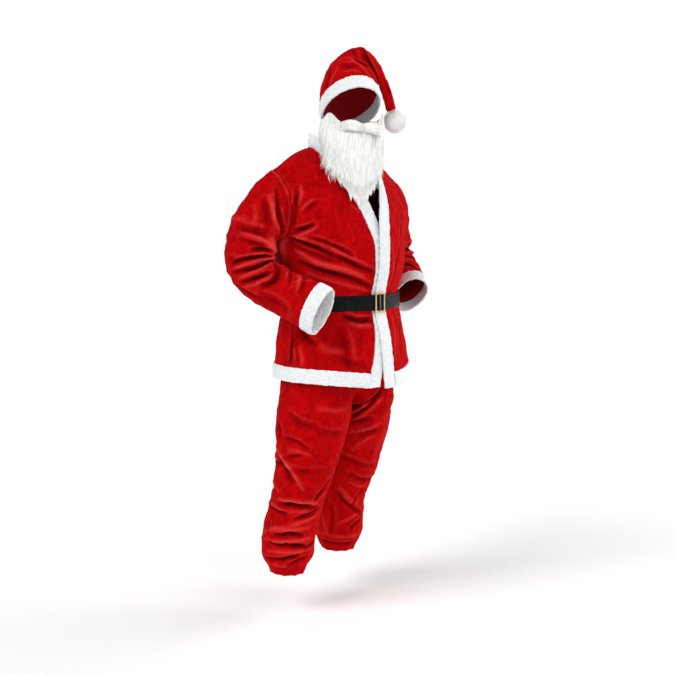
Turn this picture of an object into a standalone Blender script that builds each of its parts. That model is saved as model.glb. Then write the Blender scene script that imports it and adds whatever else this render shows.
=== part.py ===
"""Santa suit: plush jacket, trousers and hat with white plush trims, a belt and a false beard.

Metres, +Z up. The wearer would face -Y, so the wearer's right side is -X.
The origin is in the middle of the neck opening, at the height of the shoulders.
Tables give heights above the floor that the wearer would stand on.
"""
import math

import bmesh
import bpy
import numpy as np
from mathutils import Vector
from mathutils.bvhtree import BVHTree

for old in list(bpy.data.objects):
    bpy.data.objects.remove(old, do_unlink=True)

# ---------------------------------------------------------------- sizes
SHOULDER_HEIGHT = 1.500     # origin above the floor
PLUSH = 0.0026              # red plush cloth, pile included
SEAM_GAP = 0.0003           # pieces stand this far apart where they are sewn
TRIM_WIDTH = 0.046          # white plush strips
TRIM_PROUD = 0.0055         # strip stands this far out of the red cloth
TRIM_BEHIND = 0.0020        # and this far behind it
OVERLAP_LIFT = 0.0082       # left front lies this far outside the right front
BELT_WIDTH = 0.050
BELT_THICK = 0.0030
BELT_HEIGHT = 1.021
BUCKLE_WIDTH = 0.044
BUCKLE_TALL = 0.066
BUCKLE_BAR = 0.0055
BUCKLE_THICK = 0.0030
WAISTBAND_WIDTH = 0.036
WAISTBAND_THICK = 0.0035
POMPOM_RADIUS = 0.0370
ELASTIC_RADIUS = 0.0015

FRONT_COLUMNS = 9           # shoulder seam and each front
NECK_COLUMNS = 4            # back of the neck
HOLE_ROWS = 9               # armhole, front half and back half
LEG_COLUMNS = 20
HAT_COLUMNS = 16

# jacket body, a row per height: half width, depth of front and back, y of the side seam
BODY = (
    (0.770, 0.232, 0.214, 0.191, 0.000),
    (0.850, 0.226, 0.205, 0.182, 0.000),
    (0.940, 0.213, 0.190, 0.173, 0.000),
    (0.990, 0.205, 0.172, 0.160, 0.000),
    (1.052, 0.205, 0.170, 0.158, 0.002),
    (1.090, 0.217, 0.183, 0.162, 0.006),
    (1.160, 0.234, 0.192, 0.167, 0.020),
    (1.215, 0.246, 0.190, 0.170, 0.035),
)
BODY_ROWS = (0.820, 0.855, 0.893, 0.930, 0.965, 0.996, 1.046, 1.085, 1.130, 1.175, 1.215)

# front edges of the two fronts: height, x of the edge, y where the edges leave the chest
RIGHT_EDGE = (
    (0.740, -0.077), (0.800, -0.074), (0.850, -0.056), (0.900, -0.040), (0.960, -0.031),
    (1.050, -0.030), (1.130, -0.030), (1.215, -0.034),
)
LEFT_EDGE = (
    (0.740, 0.022), (0.850, 0.021), (0.960, 0.021), (1.050, 0.022), (1.215, 0.022),
)
# neckline of each front above the armpit, bottom to top: x, y, height
RIGHT_NECK = (
    (-0.034, -0.1880, 1.215), (-0.052, -0.1800, 1.260), (-0.067, -0.1650, 1.303),
    (-0.082, -0.1460, 1.348), (-0.096, -0.1170, 1.394), (-0.103, -0.0840, 1.434),
    (-0.104, -0.0500, 1.466), (-0.102, -0.0160, 1.492), (-0.099, 0.0150, 1.509),
    (-0.095, 0.0450, 1.518),
)
LEFT_NECK = (
    (0.022, -0.1890, 1.215), (0.026, -0.1810, 1.260), (0.038, -0.1680, 1.303),
    (0.056, -0.1500, 1.348), (0.080, -0.1150, 1.394), (0.095, -0.0820, 1.434),
    (0.101, -0.0490, 1.466), (0.101, -0.0160, 1.492), (0.099, 0.0150, 1.509),
    (0.095, 0.0450, 1.518),
)
# way that the white strip points from the neckline: height, to the middle, forward, up
LEAN = (
    (1.255, 1.00, 0.02, 0.12), (1.303, 0.90, 0.02, 0.40), (1.348, 0.82, 0.02, 0.55),
    (1.394, 0.58, 0.10, 0.78), (1.434, 0.34, 0.10, 0.93), (1.466, 0.20, 0.08, 0.97),
    (1.492, 0.12, 0.04, 0.99), (1.518, 0.10, -0.02, 0.99),
)
BACK_NECK = ((-0.095, 0.045, 1.518), (-0.060, 0.086, 1.509), (0.0, 0.104, 1.503),
             (0.060, 0.086, 1.509), (0.095, 0.045, 1.518))
# armhole of the right side, armpit to shoulder tip: x, y, height
HOLE_FRONT = (
    (-0.246, 0.035, 1.215), (-0.242, 0.000, 1.228), (-0.237, -0.020, 1.270),
    (-0.235, -0.022, 1.325), (-0.240, -0.010, 1.375), (-0.246, 0.014, 1.415),
    (-0.250, 0.048, 1.445),
)
HOLE_BACK = (
    (-0.246, 0.035, 1.215), (-0.240, 0.072, 1.228), (-0.230, 0.098, 1.270),
    (-0.226, 0.106, 1.325), (-0.230, 0.100, 1.375), (-0.240, 0.078, 1.418),
    (-0.250, 0.048, 1.445),
)
# sleeves as on the right side, shoulder to cuff: x, y, height, half width across the side
# next to the body, half width across the front, and the way the sleeve runs there
SLEEVE_RIGHT = (
    (-0.237, 0.040, 1.330, 0.112, 0.062, -1.00, 0.00, 0.00),
    (-0.270, 0.046, 1.318, 0.104, 0.070, -0.98, 0.00, -0.17),
    (-0.297, 0.053, 1.290, 0.090, 0.077, -0.91, 0.00, -0.42),
    (-0.315, 0.062, 1.255, 0.084, 0.081, -0.77, 0.05, -0.64),
    (-0.324, 0.072, 1.210, 0.085, 0.084, -0.57, 0.06, -0.82),
    (-0.320, 0.080, 1.165, 0.086, 0.082, -0.33, -0.10, -0.94),
    (-0.316, 0.070, 1.124, 0.082, 0.079, -0.06, -0.40, -0.91),
    (-0.311, 0.034, 1.095, 0.075, 0.078, 0.14, -0.66, -0.73),
    (-0.300, -0.014, 1.074, 0.067, 0.077, 0.27, -0.81, -0.52),
    (-0.278, -0.070, 1.050, 0.063, 0.077, 0.31, -0.85, -0.42),
    (-0.252, -0.126, 1.024, 0.057, 0.079, 0.33, -0.84, -0.42),
)
SLEEVE_LEFT = (
    (-0.237, 0.040, 1.330, 0.112, 0.062, -1.00, 0.00, 0.00),
    (-0.272, 0.047, 1.317, 0.104, 0.069, -0.98, 0.02, -0.18),
    (-0.300, 0.058, 1.290, 0.092, 0.075, -0.89, 0.12, -0.43),
    (-0.316, 0.076, 1.252, 0.084, 0.077, -0.74, 0.16, -0.65),
    (-0.332, 0.090, 1.208, 0.076, 0.078, -0.55, 0.06, -0.83),
    (-0.345, 0.096, 1.168, 0.071, 0.077, -0.26, -0.12, -0.95),
    (-0.347, 0.084, 1.132, 0.068, 0.075, 0.05, -0.38, -0.92),
    (-0.335, 0.048, 1.104, 0.065, 0.074, 0.34, -0.58, -0.74),
    (-0.314, 0.008, 1.082, 0.060, 0.073, 0.45, -0.65, -0.61),
    (-0.298, -0.024, 1.062, 0.056, 0.072, 0.51, -0.66, -0.55),
    (-0.281, -0.048, 1.045, 0.052, 0.072, 0.53, -0.66, -0.53),
)
SLEEVE_RINGS = 20
# crease rings of each sleeve: place along it, depth at the inside of the elbow, depth outside
ELBOW_RIGHT = ((0.30, 0.006, 0.002), (0.42, 0.010, 0.003), (0.53, 0.011, 0.003),
               (0.64, 0.009, 0.003), (0.76, 0.005, 0.003))
ELBOW_LEFT = ((0.32, 0.006, 0.003), (0.46, 0.009, 0.004), (0.60, 0.009, 0.005),
              (0.74, 0.008, 0.006), (0.88, 0.006, 0.006))

# seat of the trousers: height, half width, depth of front, depth of back
SEAT = (
    (1.000, 0.196, 0.154, 0.150), (0.950, 0.199, 0.158, 0.160), (0.880, 0.203, 0.158, 0.170),
    (0.800, 0.208, 0.154, 0.178), (0.700, 0.210, 0.150, 0.180),
)
SEAT_ROWS = (1.000, 0.950, 0.900, 0.850, 0.805, 0.765, 0.735, 0.712)
CROTCH_TOP = 0.830
CROTCH = 0.700
# legs below the crotch: x, y, height, half width, half depth
LEG_RIGHT = (
    (-0.109, 0.000, 0.700, 0.1080, 0.130), (-0.114, 0.002, 0.640, 0.1130, 0.122),
    (-0.121, 0.010, 0.580, 0.1110, 0.115), (-0.126, 0.020, 0.520, 0.1040, 0.106),
    (-0.129, 0.034, 0.460, 0.0950, 0.098), (-0.130, 0.052, 0.405, 0.0910, 0.096),
    (-0.133, 0.072, 0.350, 0.0890, 0.092), (-0.135, 0.090, 0.300, 0.0900, 0.090),
    (-0.136, 0.100, 0.250, 0.0910, 0.092), (-0.136, 0.104, 0.212, 0.0850, 0.088),
    (-0.136, 0.106, 0.184, 0.0840, 0.086), (-0.136, 0.106, 0.158, 0.0660, 0.070),
    (-0.136, 0.106, 0.134, 0.0520, 0.056), (-0.136, 0.106, 0.118, 0.0530, 0.057),
)
LEG_LEFT = (
    (0.107, 0.000, 0.700, 0.1050, 0.130), (0.108, 0.010, 0.640, 0.1060, 0.122),
    (0.120, 0.026, 0.580, 0.1070, 0.113), (0.130, 0.048, 0.520, 0.0980, 0.104),
    (0.138, 0.074, 0.460, 0.0910, 0.097), (0.145, 0.104, 0.405, 0.0880, 0.094),
    (0.151, 0.134, 0.350, 0.0850, 0.090), (0.156, 0.154, 0.300, 0.0820, 0.088),
    (0.159, 0.163, 0.250, 0.0860, 0.089), (0.160, 0.167, 0.212, 0.0800, 0.085),
    (0.160, 0.169, 0.184, 0.0820, 0.084), (0.160, 0.169, 0.160, 0.0650, 0.068),
    (0.160, 0.169, 0.142, 0.0520, 0.055), (0.160, 0.169, 0.128, 0.0530, 0.056),
)
LEG_RINGS = 19

# hat: middle of its rim, which way is up for it, crown from the band to the tip of the tail
HAT_RIM = (0.0176, -0.0331, 1.637)
HAT_UP = (0.262, 0.490, 0.832)
HAT_HALF_SIDE = 0.0945
HAT_HALF_LENGTH = 0.128
HAT_BAND_WIDTH = 0.046
HAT_FACING = (-0.42, -0.91, 0.0)
# x, y, height, half width across, half depth, and the way the crown runs there
CROWN = (
    (0.030, -0.009, 1.675, 0.0945, 0.128, 0.26, 0.49, 0.83),
    (0.027, -0.007, 1.697, 0.095, 0.119, 0.22, 0.47, 0.86),
    (0.024, -0.007, 1.726, 0.086, 0.103, 0.18, 0.42, 0.89),
    (0.022, -0.010, 1.753, 0.078, 0.087, 0.12, 0.36, 0.92),
    (0.022, -0.013, 1.777, 0.068, 0.073, 0.12, 0.26, 0.95),
    (0.026, -0.016, 1.798, 0.050, 0.053, 0.18, 0.14, 0.97),
    (0.034, -0.023, 1.814, 0.034, 0.036, 0.38, -0.05, 0.92),
    (0.054, -0.037, 1.8275, 0.0235, 0.0235, 0.86, -0.45, 0.20),
    (0.075, -0.050, 1.815, 0.020, 0.020, 0.76, -0.46, -0.46),
    (0.093, -0.063, 1.790, 0.0185, 0.0185, 0.42, -0.30, -0.86),
    (0.107, -0.072, 1.763, 0.0180, 0.0175, 0.38, -0.26, -0.89),
    (0.119, -0.080, 1.732, 0.0175, 0.0170, 0.36, -0.22, -0.90),
    (0.130, -0.085, 1.700, 0.0175, 0.0170, 0.35, -0.18, -0.92),
    (0.138, -0.089, 1.670, 0.0170, 0.0165, 0.33, -0.16, -0.93),
    (0.1480, -0.0935, 1.6405, 0.0150, 0.0150, 0.32, -0.15, -0.93),
)
CROWN_RINGS = 19
POMPOM = (0.160, -0.0965, 1.604)

# beard: height, x and y of the middle of its curve, radius of the curve, thickness
BEARD = (
    (1.622, 0.010, -0.043, 0.104, 0.007), (1.575, 0.008, -0.046, 0.106, 0.013),
    (1.535, 0.004, -0.050, 0.106, 0.017), (1.490, -0.008, -0.056, 0.104, 0.020),
    (1.445, -0.022, -0.062, 0.104, 0.021), (1.400, -0.036, -0.074, 0.104, 0.019),
    (1.340, -0.048, -0.088, 0.102, 0.014),
)
BEARD_COLUMNS = 32
BEARD_ROWS = 8
BEARD_FACING = (-0.46, -0.888)

# long folds: from x, y, height, to x, y, height, half width, height of the ridge
FOLDS = (
    (-0.235, -0.050, 1.235, -0.100, -0.185, 1.130, 0.022, 0.0109),
    (-0.225, -0.070, 1.200, -0.120, -0.180, 1.075, 0.020, 0.0093),
    (-0.230, -0.040, 1.290, -0.080, -0.185, 1.185, 0.024, 0.0109),
    (-0.215, -0.080, 1.150, -0.150, -0.165, 1.065, 0.018, 0.0078),
    (-0.235, 0.020, 1.180, -0.205, -0.080, 1.080, 0.020, 0.0078),
    (-0.200, 0.000, 1.400, -0.150, -0.110, 1.330, 0.026, 0.0078),
    (0.235, -0.050, 1.235, 0.090, -0.185, 1.140, 0.022, 0.0109),
    (0.225, -0.070, 1.200, 0.110, -0.175, 1.080, 0.020, 0.0093),
    (0.200, 0.000, 1.400, 0.140, -0.110, 1.320, 0.026, 0.0078),
    (-0.225, 0.090, 1.235, -0.080, 0.165, 1.140, 0.024, 0.0109),
    (-0.215, 0.080, 1.180, -0.090, 0.160, 1.080, 0.022, 0.0093),
    (0.225, 0.090, 1.235, 0.080, 0.165, 1.140, 0.024, 0.0109),
    (0.215, 0.080, 1.180, 0.090, 0.160, 1.080, 0.022, 0.0093),
    (-0.120, -0.185, 0.970, -0.170, -0.160, 0.850, 0.018, 0.0093),
    (-0.190, -0.090, 0.965, -0.215, -0.080, 0.850, 0.018, 0.0093),
    (0.110, -0.180, 0.970, 0.150, -0.170, 0.850, 0.018, 0.0093),
    (-0.100, 0.165, 0.970, -0.120, 0.175, 0.850, 0.020, 0.0093),
    (0.100, 0.165, 0.970, 0.120, 0.175, 0.850, 0.020, 0.0093),
    (0.000, 0.160, 0.970, 0.010, 0.185, 0.850, 0.020, 0.0078),
)
LEG_FOLDS = (
    (-0.200, -0.060, 0.640, -0.060, -0.100, 0.560, 0.020, 0.0090),
    (-0.215, -0.020, 0.560, -0.080, -0.090, 0.490, 0.020, 0.0090),
    (-0.200, 0.000, 0.470, -0.080, -0.060, 0.430, 0.020, 0.0105),
    (-0.215, 0.040, 0.400, -0.090, -0.030, 0.370, 0.018, 0.0105),
    (-0.210, 0.040, 0.330, -0.080, 0.010, 0.350, 0.018, 0.0090),
    (-0.225, 0.080, 0.275, -0.080, 0.020, 0.265, 0.018, 0.0105),
    (-0.200, 0.130, 0.520, -0.110, 0.140, 0.400, 0.022, 0.0090),
    (-0.220, 0.120, 0.300, -0.110, 0.190, 0.280, 0.018, 0.0090),
    (0.200, -0.050, 0.620, 0.060, -0.090, 0.550, 0.020, 0.0090),
    (0.220, 0.020, 0.520, 0.080, -0.040, 0.480, 0.020, 0.0090),
    (0.215, 0.060, 0.430, 0.080, 0.010, 0.410, 0.018, 0.0105),
    (0.225, 0.120, 0.350, 0.100, 0.050, 0.340, 0.018, 0.0105),
    (0.230, 0.160, 0.270, 0.100, 0.080, 0.265, 0.018, 0.0090),
    (0.190, 0.170, 0.520, 0.120, 0.180, 0.400, 0.022, 0.0090),
    (0.230, 0.200, 0.300, 0.150, 0.255, 0.280, 0.018, 0.0090),
)
HAT_FOLDS = (
    (-0.060, -0.090, 1.740, 0.040, -0.100, 1.790, 0.012, 0.004),
    (-0.070, -0.040, 1.745, 0.000, -0.060, 1.815, 0.012, 0.004),
    (-0.030, 0.070, 1.720, 0.050, 0.030, 1.790, 0.014, 0.004),
    (0.070, -0.100, 1.745, 0.040, -0.075, 1.790, 0.012, 0.004),
    (0.100, 0.020, 1.720, 0.060, 0.000, 1.790, 0.014, 0.004),
)


# ---------------------------------------------------------------- helpers
def lift_to_origin(points):
    """Moves points from heights above the floor to heights from the origin."""
    moved = np.array(points, dtype=float)
    moved[..., 2] -= SHOULDER_HEIGHT
    return moved


def unit(vectors):
    """Vectors of length one."""
    vectors = np.asarray(vectors, dtype=float)
    return vectors / np.maximum(np.linalg.norm(vectors, axis=-1, keepdims=True), 1e-12)


def through(knots, values, places):
    """A smooth curve through values that stand at rising knots."""
    knots = np.asarray(knots, dtype=float)
    values = np.asarray(values, dtype=float)
    slopes = np.gradient(values, knots, axis=0)
    results = []
    for place in np.atleast_1d(places):
        place = min(max(place, knots[0]), knots[-1])
        i = min(max(int(np.searchsorted(knots, place)) - 1, 0), len(knots) - 2)
        span = knots[i + 1] - knots[i]
        s = (place - knots[i]) / span
        results.append((2 * s**3 - 3 * s**2 + 1) * values[i]
                       + (s**3 - 2 * s**2 + s) * span * slopes[i]
                       + (3 * s**2 - 2 * s**3) * values[i + 1]
                       + (s**3 - s**2) * span * slopes[i + 1])
    return np.array(results)


def along(rows, count, places=None):
    """Rows of a table spaced out evenly along its first three columns, which are a path."""
    rows = np.array(rows, dtype=float)
    steps = np.linalg.norm(np.diff(rows[:, :3], axis=0), axis=1)
    knots = np.concatenate([[0.0], np.cumsum(steps)]) / steps.sum()
    if places is None:
        places = np.linspace(0.0, 1.0, count)
    return through(knots, rows, places)


def ease(value):
    """Nought to one with soft ends."""
    value = np.clip(value, 0.0, 1.0)
    return value * value * (3 - 2 * value)


def fold_rise(points, folds):
    """How far each point of the cloth is raised by the folds near it."""
    points = np.asarray(points, dtype=float)
    rise = np.zeros(points.shape[:-1])
    for row in folds:
        start = np.array(row[0:3])
        end = np.array(row[3:6])
        run = end - start
        share = np.clip(((points - start) @ run) / (run @ run), 0.0, 1.0)
        far = np.linalg.norm(points - (start + share[..., None] * run), axis=-1)
        taper = 0.35 + 0.65 * np.sin(math.pi * np.clip(share, 0.02, 0.98))
        rise += row[7] * taper * (np.exp(-(far / row[6]) ** 2)
                                  - 0.55 * np.exp(-((far - 2.0 * row[6]) / row[6]) ** 2))
    return rise


def wobble(points, size, height):
    """Slow unevenness of cloth, the same at the same place on every piece."""
    p = np.asarray(points) / size
    return height * (np.sin(p[..., 0] * 1.7 + 2.1 * p[..., 2] + 0.6)
                     * np.sin(p[..., 1] * 1.9 - 1.3 * p[..., 2] + 1.1)
                     + 0.6 * np.sin(p[..., 2] * 3.1 + p[..., 0] * 1.3 - p[..., 1]))


class Sheet:
    """A piece of cloth as rows and columns of points, outside turned outward."""

    def __init__(self, points, closed=False, turned=False):
        self.points = np.array(points, dtype=float)
        self.closed = closed
        self.turned = turned
        self.normals = None

    def cells(self):
        rows, columns = self.points.shape[:2]
        last = columns if self.closed else columns - 1
        for i in range(rows - 1):
            for j in range(last):
                yield i, j, (j + 1) % columns

    def raw_normals(self):
        """Sum of the face normals at each point, by area."""
        total = np.zeros_like(self.points)
        p = self.points
        for i, j, k in self.cells():
            face = np.cross(p[i + 1, k] - p[i, j], p[i + 1, j] - p[i, k])
            if self.turned:
                face = -face
            for a, b in ((i, j), (i, k), (i + 1, j), (i + 1, k)):
                total[a, b] += face
        return total


def share_normals(sheets):
    """Pieces that are sewn together lean the same way along their seam."""
    together = {}
    raws = []
    for sheet in sheets:
        raw = sheet.raw_normals()
        raws.append(raw)
        for place, normal in zip(sheet.points.reshape(-1, 3), raw.reshape(-1, 3)):
            key = tuple(np.round(place, 6))
            together[key] = together.get(key, 0) + normal
    for sheet in sheets:
        flat = [together[tuple(np.round(place, 6))] for place in sheet.points.reshape(-1, 3)]
        sheet.normals = unit(np.array(flat)).reshape(sheet.points.shape)


def mirror(points):
    """The other side of the suit."""
    other = np.array(points, dtype=float)
    other[..., 0] *= -1
    return other


collection = bpy.data.collections.new("SantaSuit")
bpy.context.scene.collection.children.link(collection)
bodies = {}


def material(name, colour, rough, metal=0.0, sheen=0.0):
    """A plain Principled material."""
    made = bpy.data.materials.new(name)
    made.use_nodes = True
    shader = made.node_tree.nodes["Principled BSDF"]
    shader.inputs["Base Color"].default_value = (*colour, 1.0)
    shader.inputs["Roughness"].default_value = rough
    shader.inputs["Metallic"].default_value = metal
    shader.inputs["Sheen Weight"].default_value = sheen
    return made


RED_PLUSH = material("red_plush", (0.52, 0.010, 0.012), 0.9, sheen=0.4)
WHITE_PLUSH = material("white_plush", (0.86, 0.86, 0.85), 0.95, sheen=0.3)
LEATHERETTE = material("black_leatherette", (0.012, 0.012, 0.013), 0.38)
GOLD_METAL = material("gold_metal", (0.78, 0.62, 0.34), 0.25, metal=1.0)
ELASTIC_RED = material("red_elastic", (0.40, 0.010, 0.012), 0.8)
WHITE_HAIR = material("white_hair", (0.88, 0.88, 0.87), 0.7, sheen=0.2)
WHITE_ELASTIC = material("white_elastic", (0.85, 0.85, 0.84), 0.7)


def solid(name, verts, faces, look):
    """One named object from points above the floor and its faces."""
    mesh = bpy.data.meshes.new(name)
    mesh.from_pydata([Vector(v) for v in lift_to_origin(verts)], [], faces)
    mesh.update()
    shell = bmesh.new()
    shell.from_mesh(mesh)
    bmesh.ops.recalc_face_normals(shell, faces=shell.faces)
    shell.to_mesh(mesh)
    shell.free()
    mesh.materials.append(look)
    made = bpy.data.objects.new(name, mesh)
    collection.objects.link(made)
    bodies[name] = (np.array(verts, dtype=float), faces)
    return made


def cloth(name, sheet, thick, look, seams="", close_end=False):
    """A wall of cloth inward from its sheet. Seams names the edges that are sewn:
    b bottom row, t top row, l first column, r last column."""
    points = sheet.points.copy()
    normals = sheet.normals
    rows, columns = points.shape[:2]
    half = SEAM_GAP / 2
    moved = points.copy()
    if "b" in seams:
        moved[0] += half * unit(points[1] - points[0])
    if "t" in seams:
        moved[-1] += half * unit(points[-2] - points[-1])
    if "l" in seams:
        moved[:, 0] += half * unit(points[:, 1] - points[:, 0])
    if "r" in seams:
        moved[:, -1] += half * unit(points[:, -2] - points[:, -1])
    outer = moved
    inner = moved - normals * thick
    count = rows * columns
    verts = list(outer.reshape(-1, 3)) + list(inner.reshape(-1, 3))
    faces = []
    for i, j, k in sheet.cells():
        a, b = i * columns + j, i * columns + k
        c, d = (i + 1) * columns + k, (i + 1) * columns + j
        one = np.linalg.norm(verts[a] - verts[c]) <= np.linalg.norm(verts[b] - verts[d])
        pair = ((a, b, c), (a, c, d)) if one else ((a, b, d), (b, c, d))
        for face in pair:
            if sheet.turned:
                face = face[::-1]
            faces.append(face)
            faces.append(tuple(v + count for v in face[::-1]))
    last = columns if sheet.closed else columns - 1

    def rim(a, b):
        c, d = a + count, b + count
        one = np.linalg.norm(verts[b] - verts[c]) <= np.linalg.norm(verts[a] - verts[d])
        faces.extend(((b, a, c), (b, c, d)) if one else ((a, c, d), (a, d, b)))

    for j in range(last):
        k = (j + 1) % columns
        rim(j, k)
        if not close_end:
            rim((rows - 1) * columns + k, (rows - 1) * columns + j)
    if close_end:
        for shift, layer in ((0, outer), (count, inner)):
            verts.append(layer[-1].mean(axis=0))
            tip = len(verts) - 1
            for j in range(last):
                k = (j + 1) % columns
                face = ((rows - 1) * columns + j + shift, (rows - 1) * columns + k + shift, tip)
                if sheet.turned != (shift > 0):
                    face = face[::-1]
                faces.append(face)
    if not sheet.closed:
        for i in range(rows - 1):
            rim((i + 1) * columns, i * columns)
            rim(i * columns + columns - 1, (i + 1) * columns + columns - 1)
    return solid(name, verts, faces, look)


def strip(name, edge, across, outward, profile, look, closed=False, seam_out=None):
    """A band swept along an edge. Profile points are (across the strip, outward).
    Its seam side stands along seam_out, as the edge of the cloth beside it does."""
    edge = np.asarray(edge, dtype=float)
    count = len(edge)
    size = len(profile)
    verts = []
    lean = unit(outward if seam_out is None else seam_out)
    for place, side, out, seam in zip(edge, unit(across), unit(outward), lean):
        out = unit(out - (out @ side) * side)
        for s, t in profile:
            verts.append(place + side * s + (seam if s <= SEAM_GAP else out) * t)
    faces = []
    for i in range(count if closed else count - 1):
        n = (i + 1) % count
        for j in range(size):
            k = (j + 1) % size
            a, b, c, d = i * size + j, i * size + k, n * size + k, n * size + j
            one = np.linalg.norm(verts[a] - verts[c]) <= np.linalg.norm(verts[b] - verts[d])
            pair = ((a, b, c), (a, c, d)) if one else ((a, b, d), (b, c, d))
            for face in pair:
                faces.append(face)
    if not closed:
        for j in range(1, size - 1):
            first = (0, j, j + 1)
            end = ((count - 1) * size, (count - 1) * size + j + 1, (count - 1) * size + j)
            faces.extend((first, end))
    return solid(name, verts, faces, look)


def trim_profile(width):
    """Section of a white plush strip, from its seam to its free edge."""
    return ((SEAM_GAP / 2, -TRIM_BEHIND), (SEAM_GAP / 2, 0.6 * TRIM_PROUD),
            (0.20 * width, TRIM_PROUD), (0.80 * width, TRIM_PROUD), (width, 0.35 * TRIM_PROUD),
            (0.96 * width, -TRIM_BEHIND))


# ---------------------------------------------------------------- jacket body
BODY_TABLE = np.array(BODY)


def body_sizes(height):
    """Half width, front, back and side seam y at a height."""
    return through(BODY_TABLE[:, 0], BODY_TABLE[:, 1:], [height])[0]


def body_point(turn, height):
    """A point of the jacket: turn 0 is the right side seam, 0.25 the middle of the front."""
    half_width, front, back, side_y = body_sizes(height)
    c = math.cos(2 * math.pi * turn)
    s = math.sin(2 * math.pi * turn)
    x = -half_width * math.copysign(abs(c) ** 0.92, c)
    reach = front + side_y if s > 0 else back - side_y
    return np.array([x, side_y - math.copysign(abs(s) ** 0.92, s) * reach, height])


def turn_at(x, height):
    """Turn of the front point that has this x."""
    c = -x / body_sizes(height)[0]
    return math.acos(math.copysign(abs(c) ** (1 / 0.92), c)) / (2 * math.pi)


def hem_drop(turn, row):
    """The hem hangs lower at the front than at the sides."""
    near_front = math.exp(-((turn - 0.25) / 0.10) ** 2)
    return -0.020 * near_front * max(0.0, 1 - row / 4)


def edge_x(table, height):
    table = np.array(table)
    return float(through(table[:, 0], table[:, 1], [height])[0])


def patch(bottom, top, left, right, bulge, away):
    """Cloth stretched between four edges, with some fullness in the middle."""
    rows, columns = len(left), len(bottom)
    u = np.linspace(0, 1, columns)[None, :, None]
    v = np.linspace(0, 1, rows)[:, None, None]
    flat = ((1 - v) * bottom[None] + v * top[None] + (1 - u) * left[:, None]
            + u * right[:, None] - (1 - u) * (1 - v) * bottom[0] - u * (1 - v) * bottom[-1]
            - (1 - u) * v * top[0] - u * v * top[-1])
    return flat + bulge * np.sin(math.pi * u) * np.sin(math.pi * v) * np.array(away)


def relax(points, first, times):
    """Evens out the inside of a piece above its row called first."""
    for _ in range(times):
        middle = (points[first - 1:-2, 1:-1] + points[first + 1:, 1:-1]
                  + points[first:-1, :-2] + points[first:-1, 2:]) / 4
        points[first:-1, 1:-1] += 0.5 * (middle - points[first:-1, 1:-1])
    return points


hole_front = along(HOLE_FRONT, HOLE_ROWS + 1)
hole_back = along(HOLE_BACK, HOLE_ROWS + 1)
neck_right = along(RIGHT_NECK, HOLE_ROWS + 1)
neck_left = along(LEFT_NECK, HOLE_ROWS + 1)
tip = hole_front[-1]
shoulder = np.array([tip + (neck_right[-1] - tip) * s for s in np.linspace(0, 1, FRONT_COLUMNS + 1)])
shoulder[:, 2] += 0.006 * np.sin(math.pi * np.linspace(0, 1, FRONT_COLUMNS + 1))
neck_back = along(BACK_NECK, NECK_COLUMNS + 1)


def front_sheet(edge_table, neck, right_side):
    """A front: side seam and armhole in the first column, front edge in the last."""
    rows = []
    for row, height in enumerate(BODY_ROWS):
        x = edge_x(edge_table, height)
        start = 0.0 if right_side else 0.5
        end = turn_at(x, height)
        line = []
        for share in np.linspace(0, 1, FRONT_COLUMNS + 1):
            turn = start + share * (end - start)
            line.append(body_point(turn, height + hem_drop(turn, row)))
        rows.append(line)
    rows = np.array(rows)
    hole = hole_front if right_side else mirror(hole_front)
    top = shoulder if right_side else mirror(shoulder)
    rows[-1, 0] = hole[0]
    neck = neck.copy()
    neck[0] = rows[-1, -1]
    upper = patch(rows[-1], top, hole, neck, 0.012, (0, -1, 0.2))
    whole = np.concatenate([rows, upper[1:]])
    return relax(whole, len(BODY_ROWS) - 2, 3)


def back_sheet():
    """The back: right side seam in the first column, left side seam in the last."""
    columns = 2 * FRONT_COLUMNS + NECK_COLUMNS
    rows = []
    for row, height in enumerate(BODY_ROWS):
        line = []
        for share in np.linspace(0, 1, columns + 1):
            turn = 1 - 0.5 * share
            line.append(body_point(turn, height + hem_drop(turn % 1.0, row)))
        rows.append(line)
    rows = np.array(rows)
    rows[-1, 0] = hole_back[0]
    rows[-1, -1] = mirror(hole_back[0])
    top = np.concatenate([shoulder, neck_back[1:-1], mirror(shoulder)[::-1]])
    upper = patch(rows[-1], top, hole_back, mirror(hole_back), 0.022, (0, 1, 0.1))
    whole = np.concatenate([rows, upper[1:]])
    return relax(whole, len(BODY_ROWS) - 2, 3)


jacket_right = Sheet(front_sheet(RIGHT_EDGE, neck_right, True))
jacket_left = Sheet(front_sheet(LEFT_EDGE, neck_left, False), turned=True)
jacket_back = Sheet(back_sheet(), turned=True)
for row in range(len(BODY_ROWS)):
    jacket_back.points[row, 0] = jacket_right.points[row, 0]
    jacket_back.points[row, -1] = jacket_left.points[row, 0]


# ---------------------------------------------------------------- sleeves
def carried_frames(ways, start_side):
    """Two directions across a tube at each of its stations, carried along without a twist."""
    side = np.array(start_side, dtype=float)
    sides, fronts = [], []
    for way in ways:
        side = unit(side - (side @ way) * way)
        sides.append(side)
        fronts.append(np.cross(way, side))
    return np.array(sides), np.array(fronts)


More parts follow.
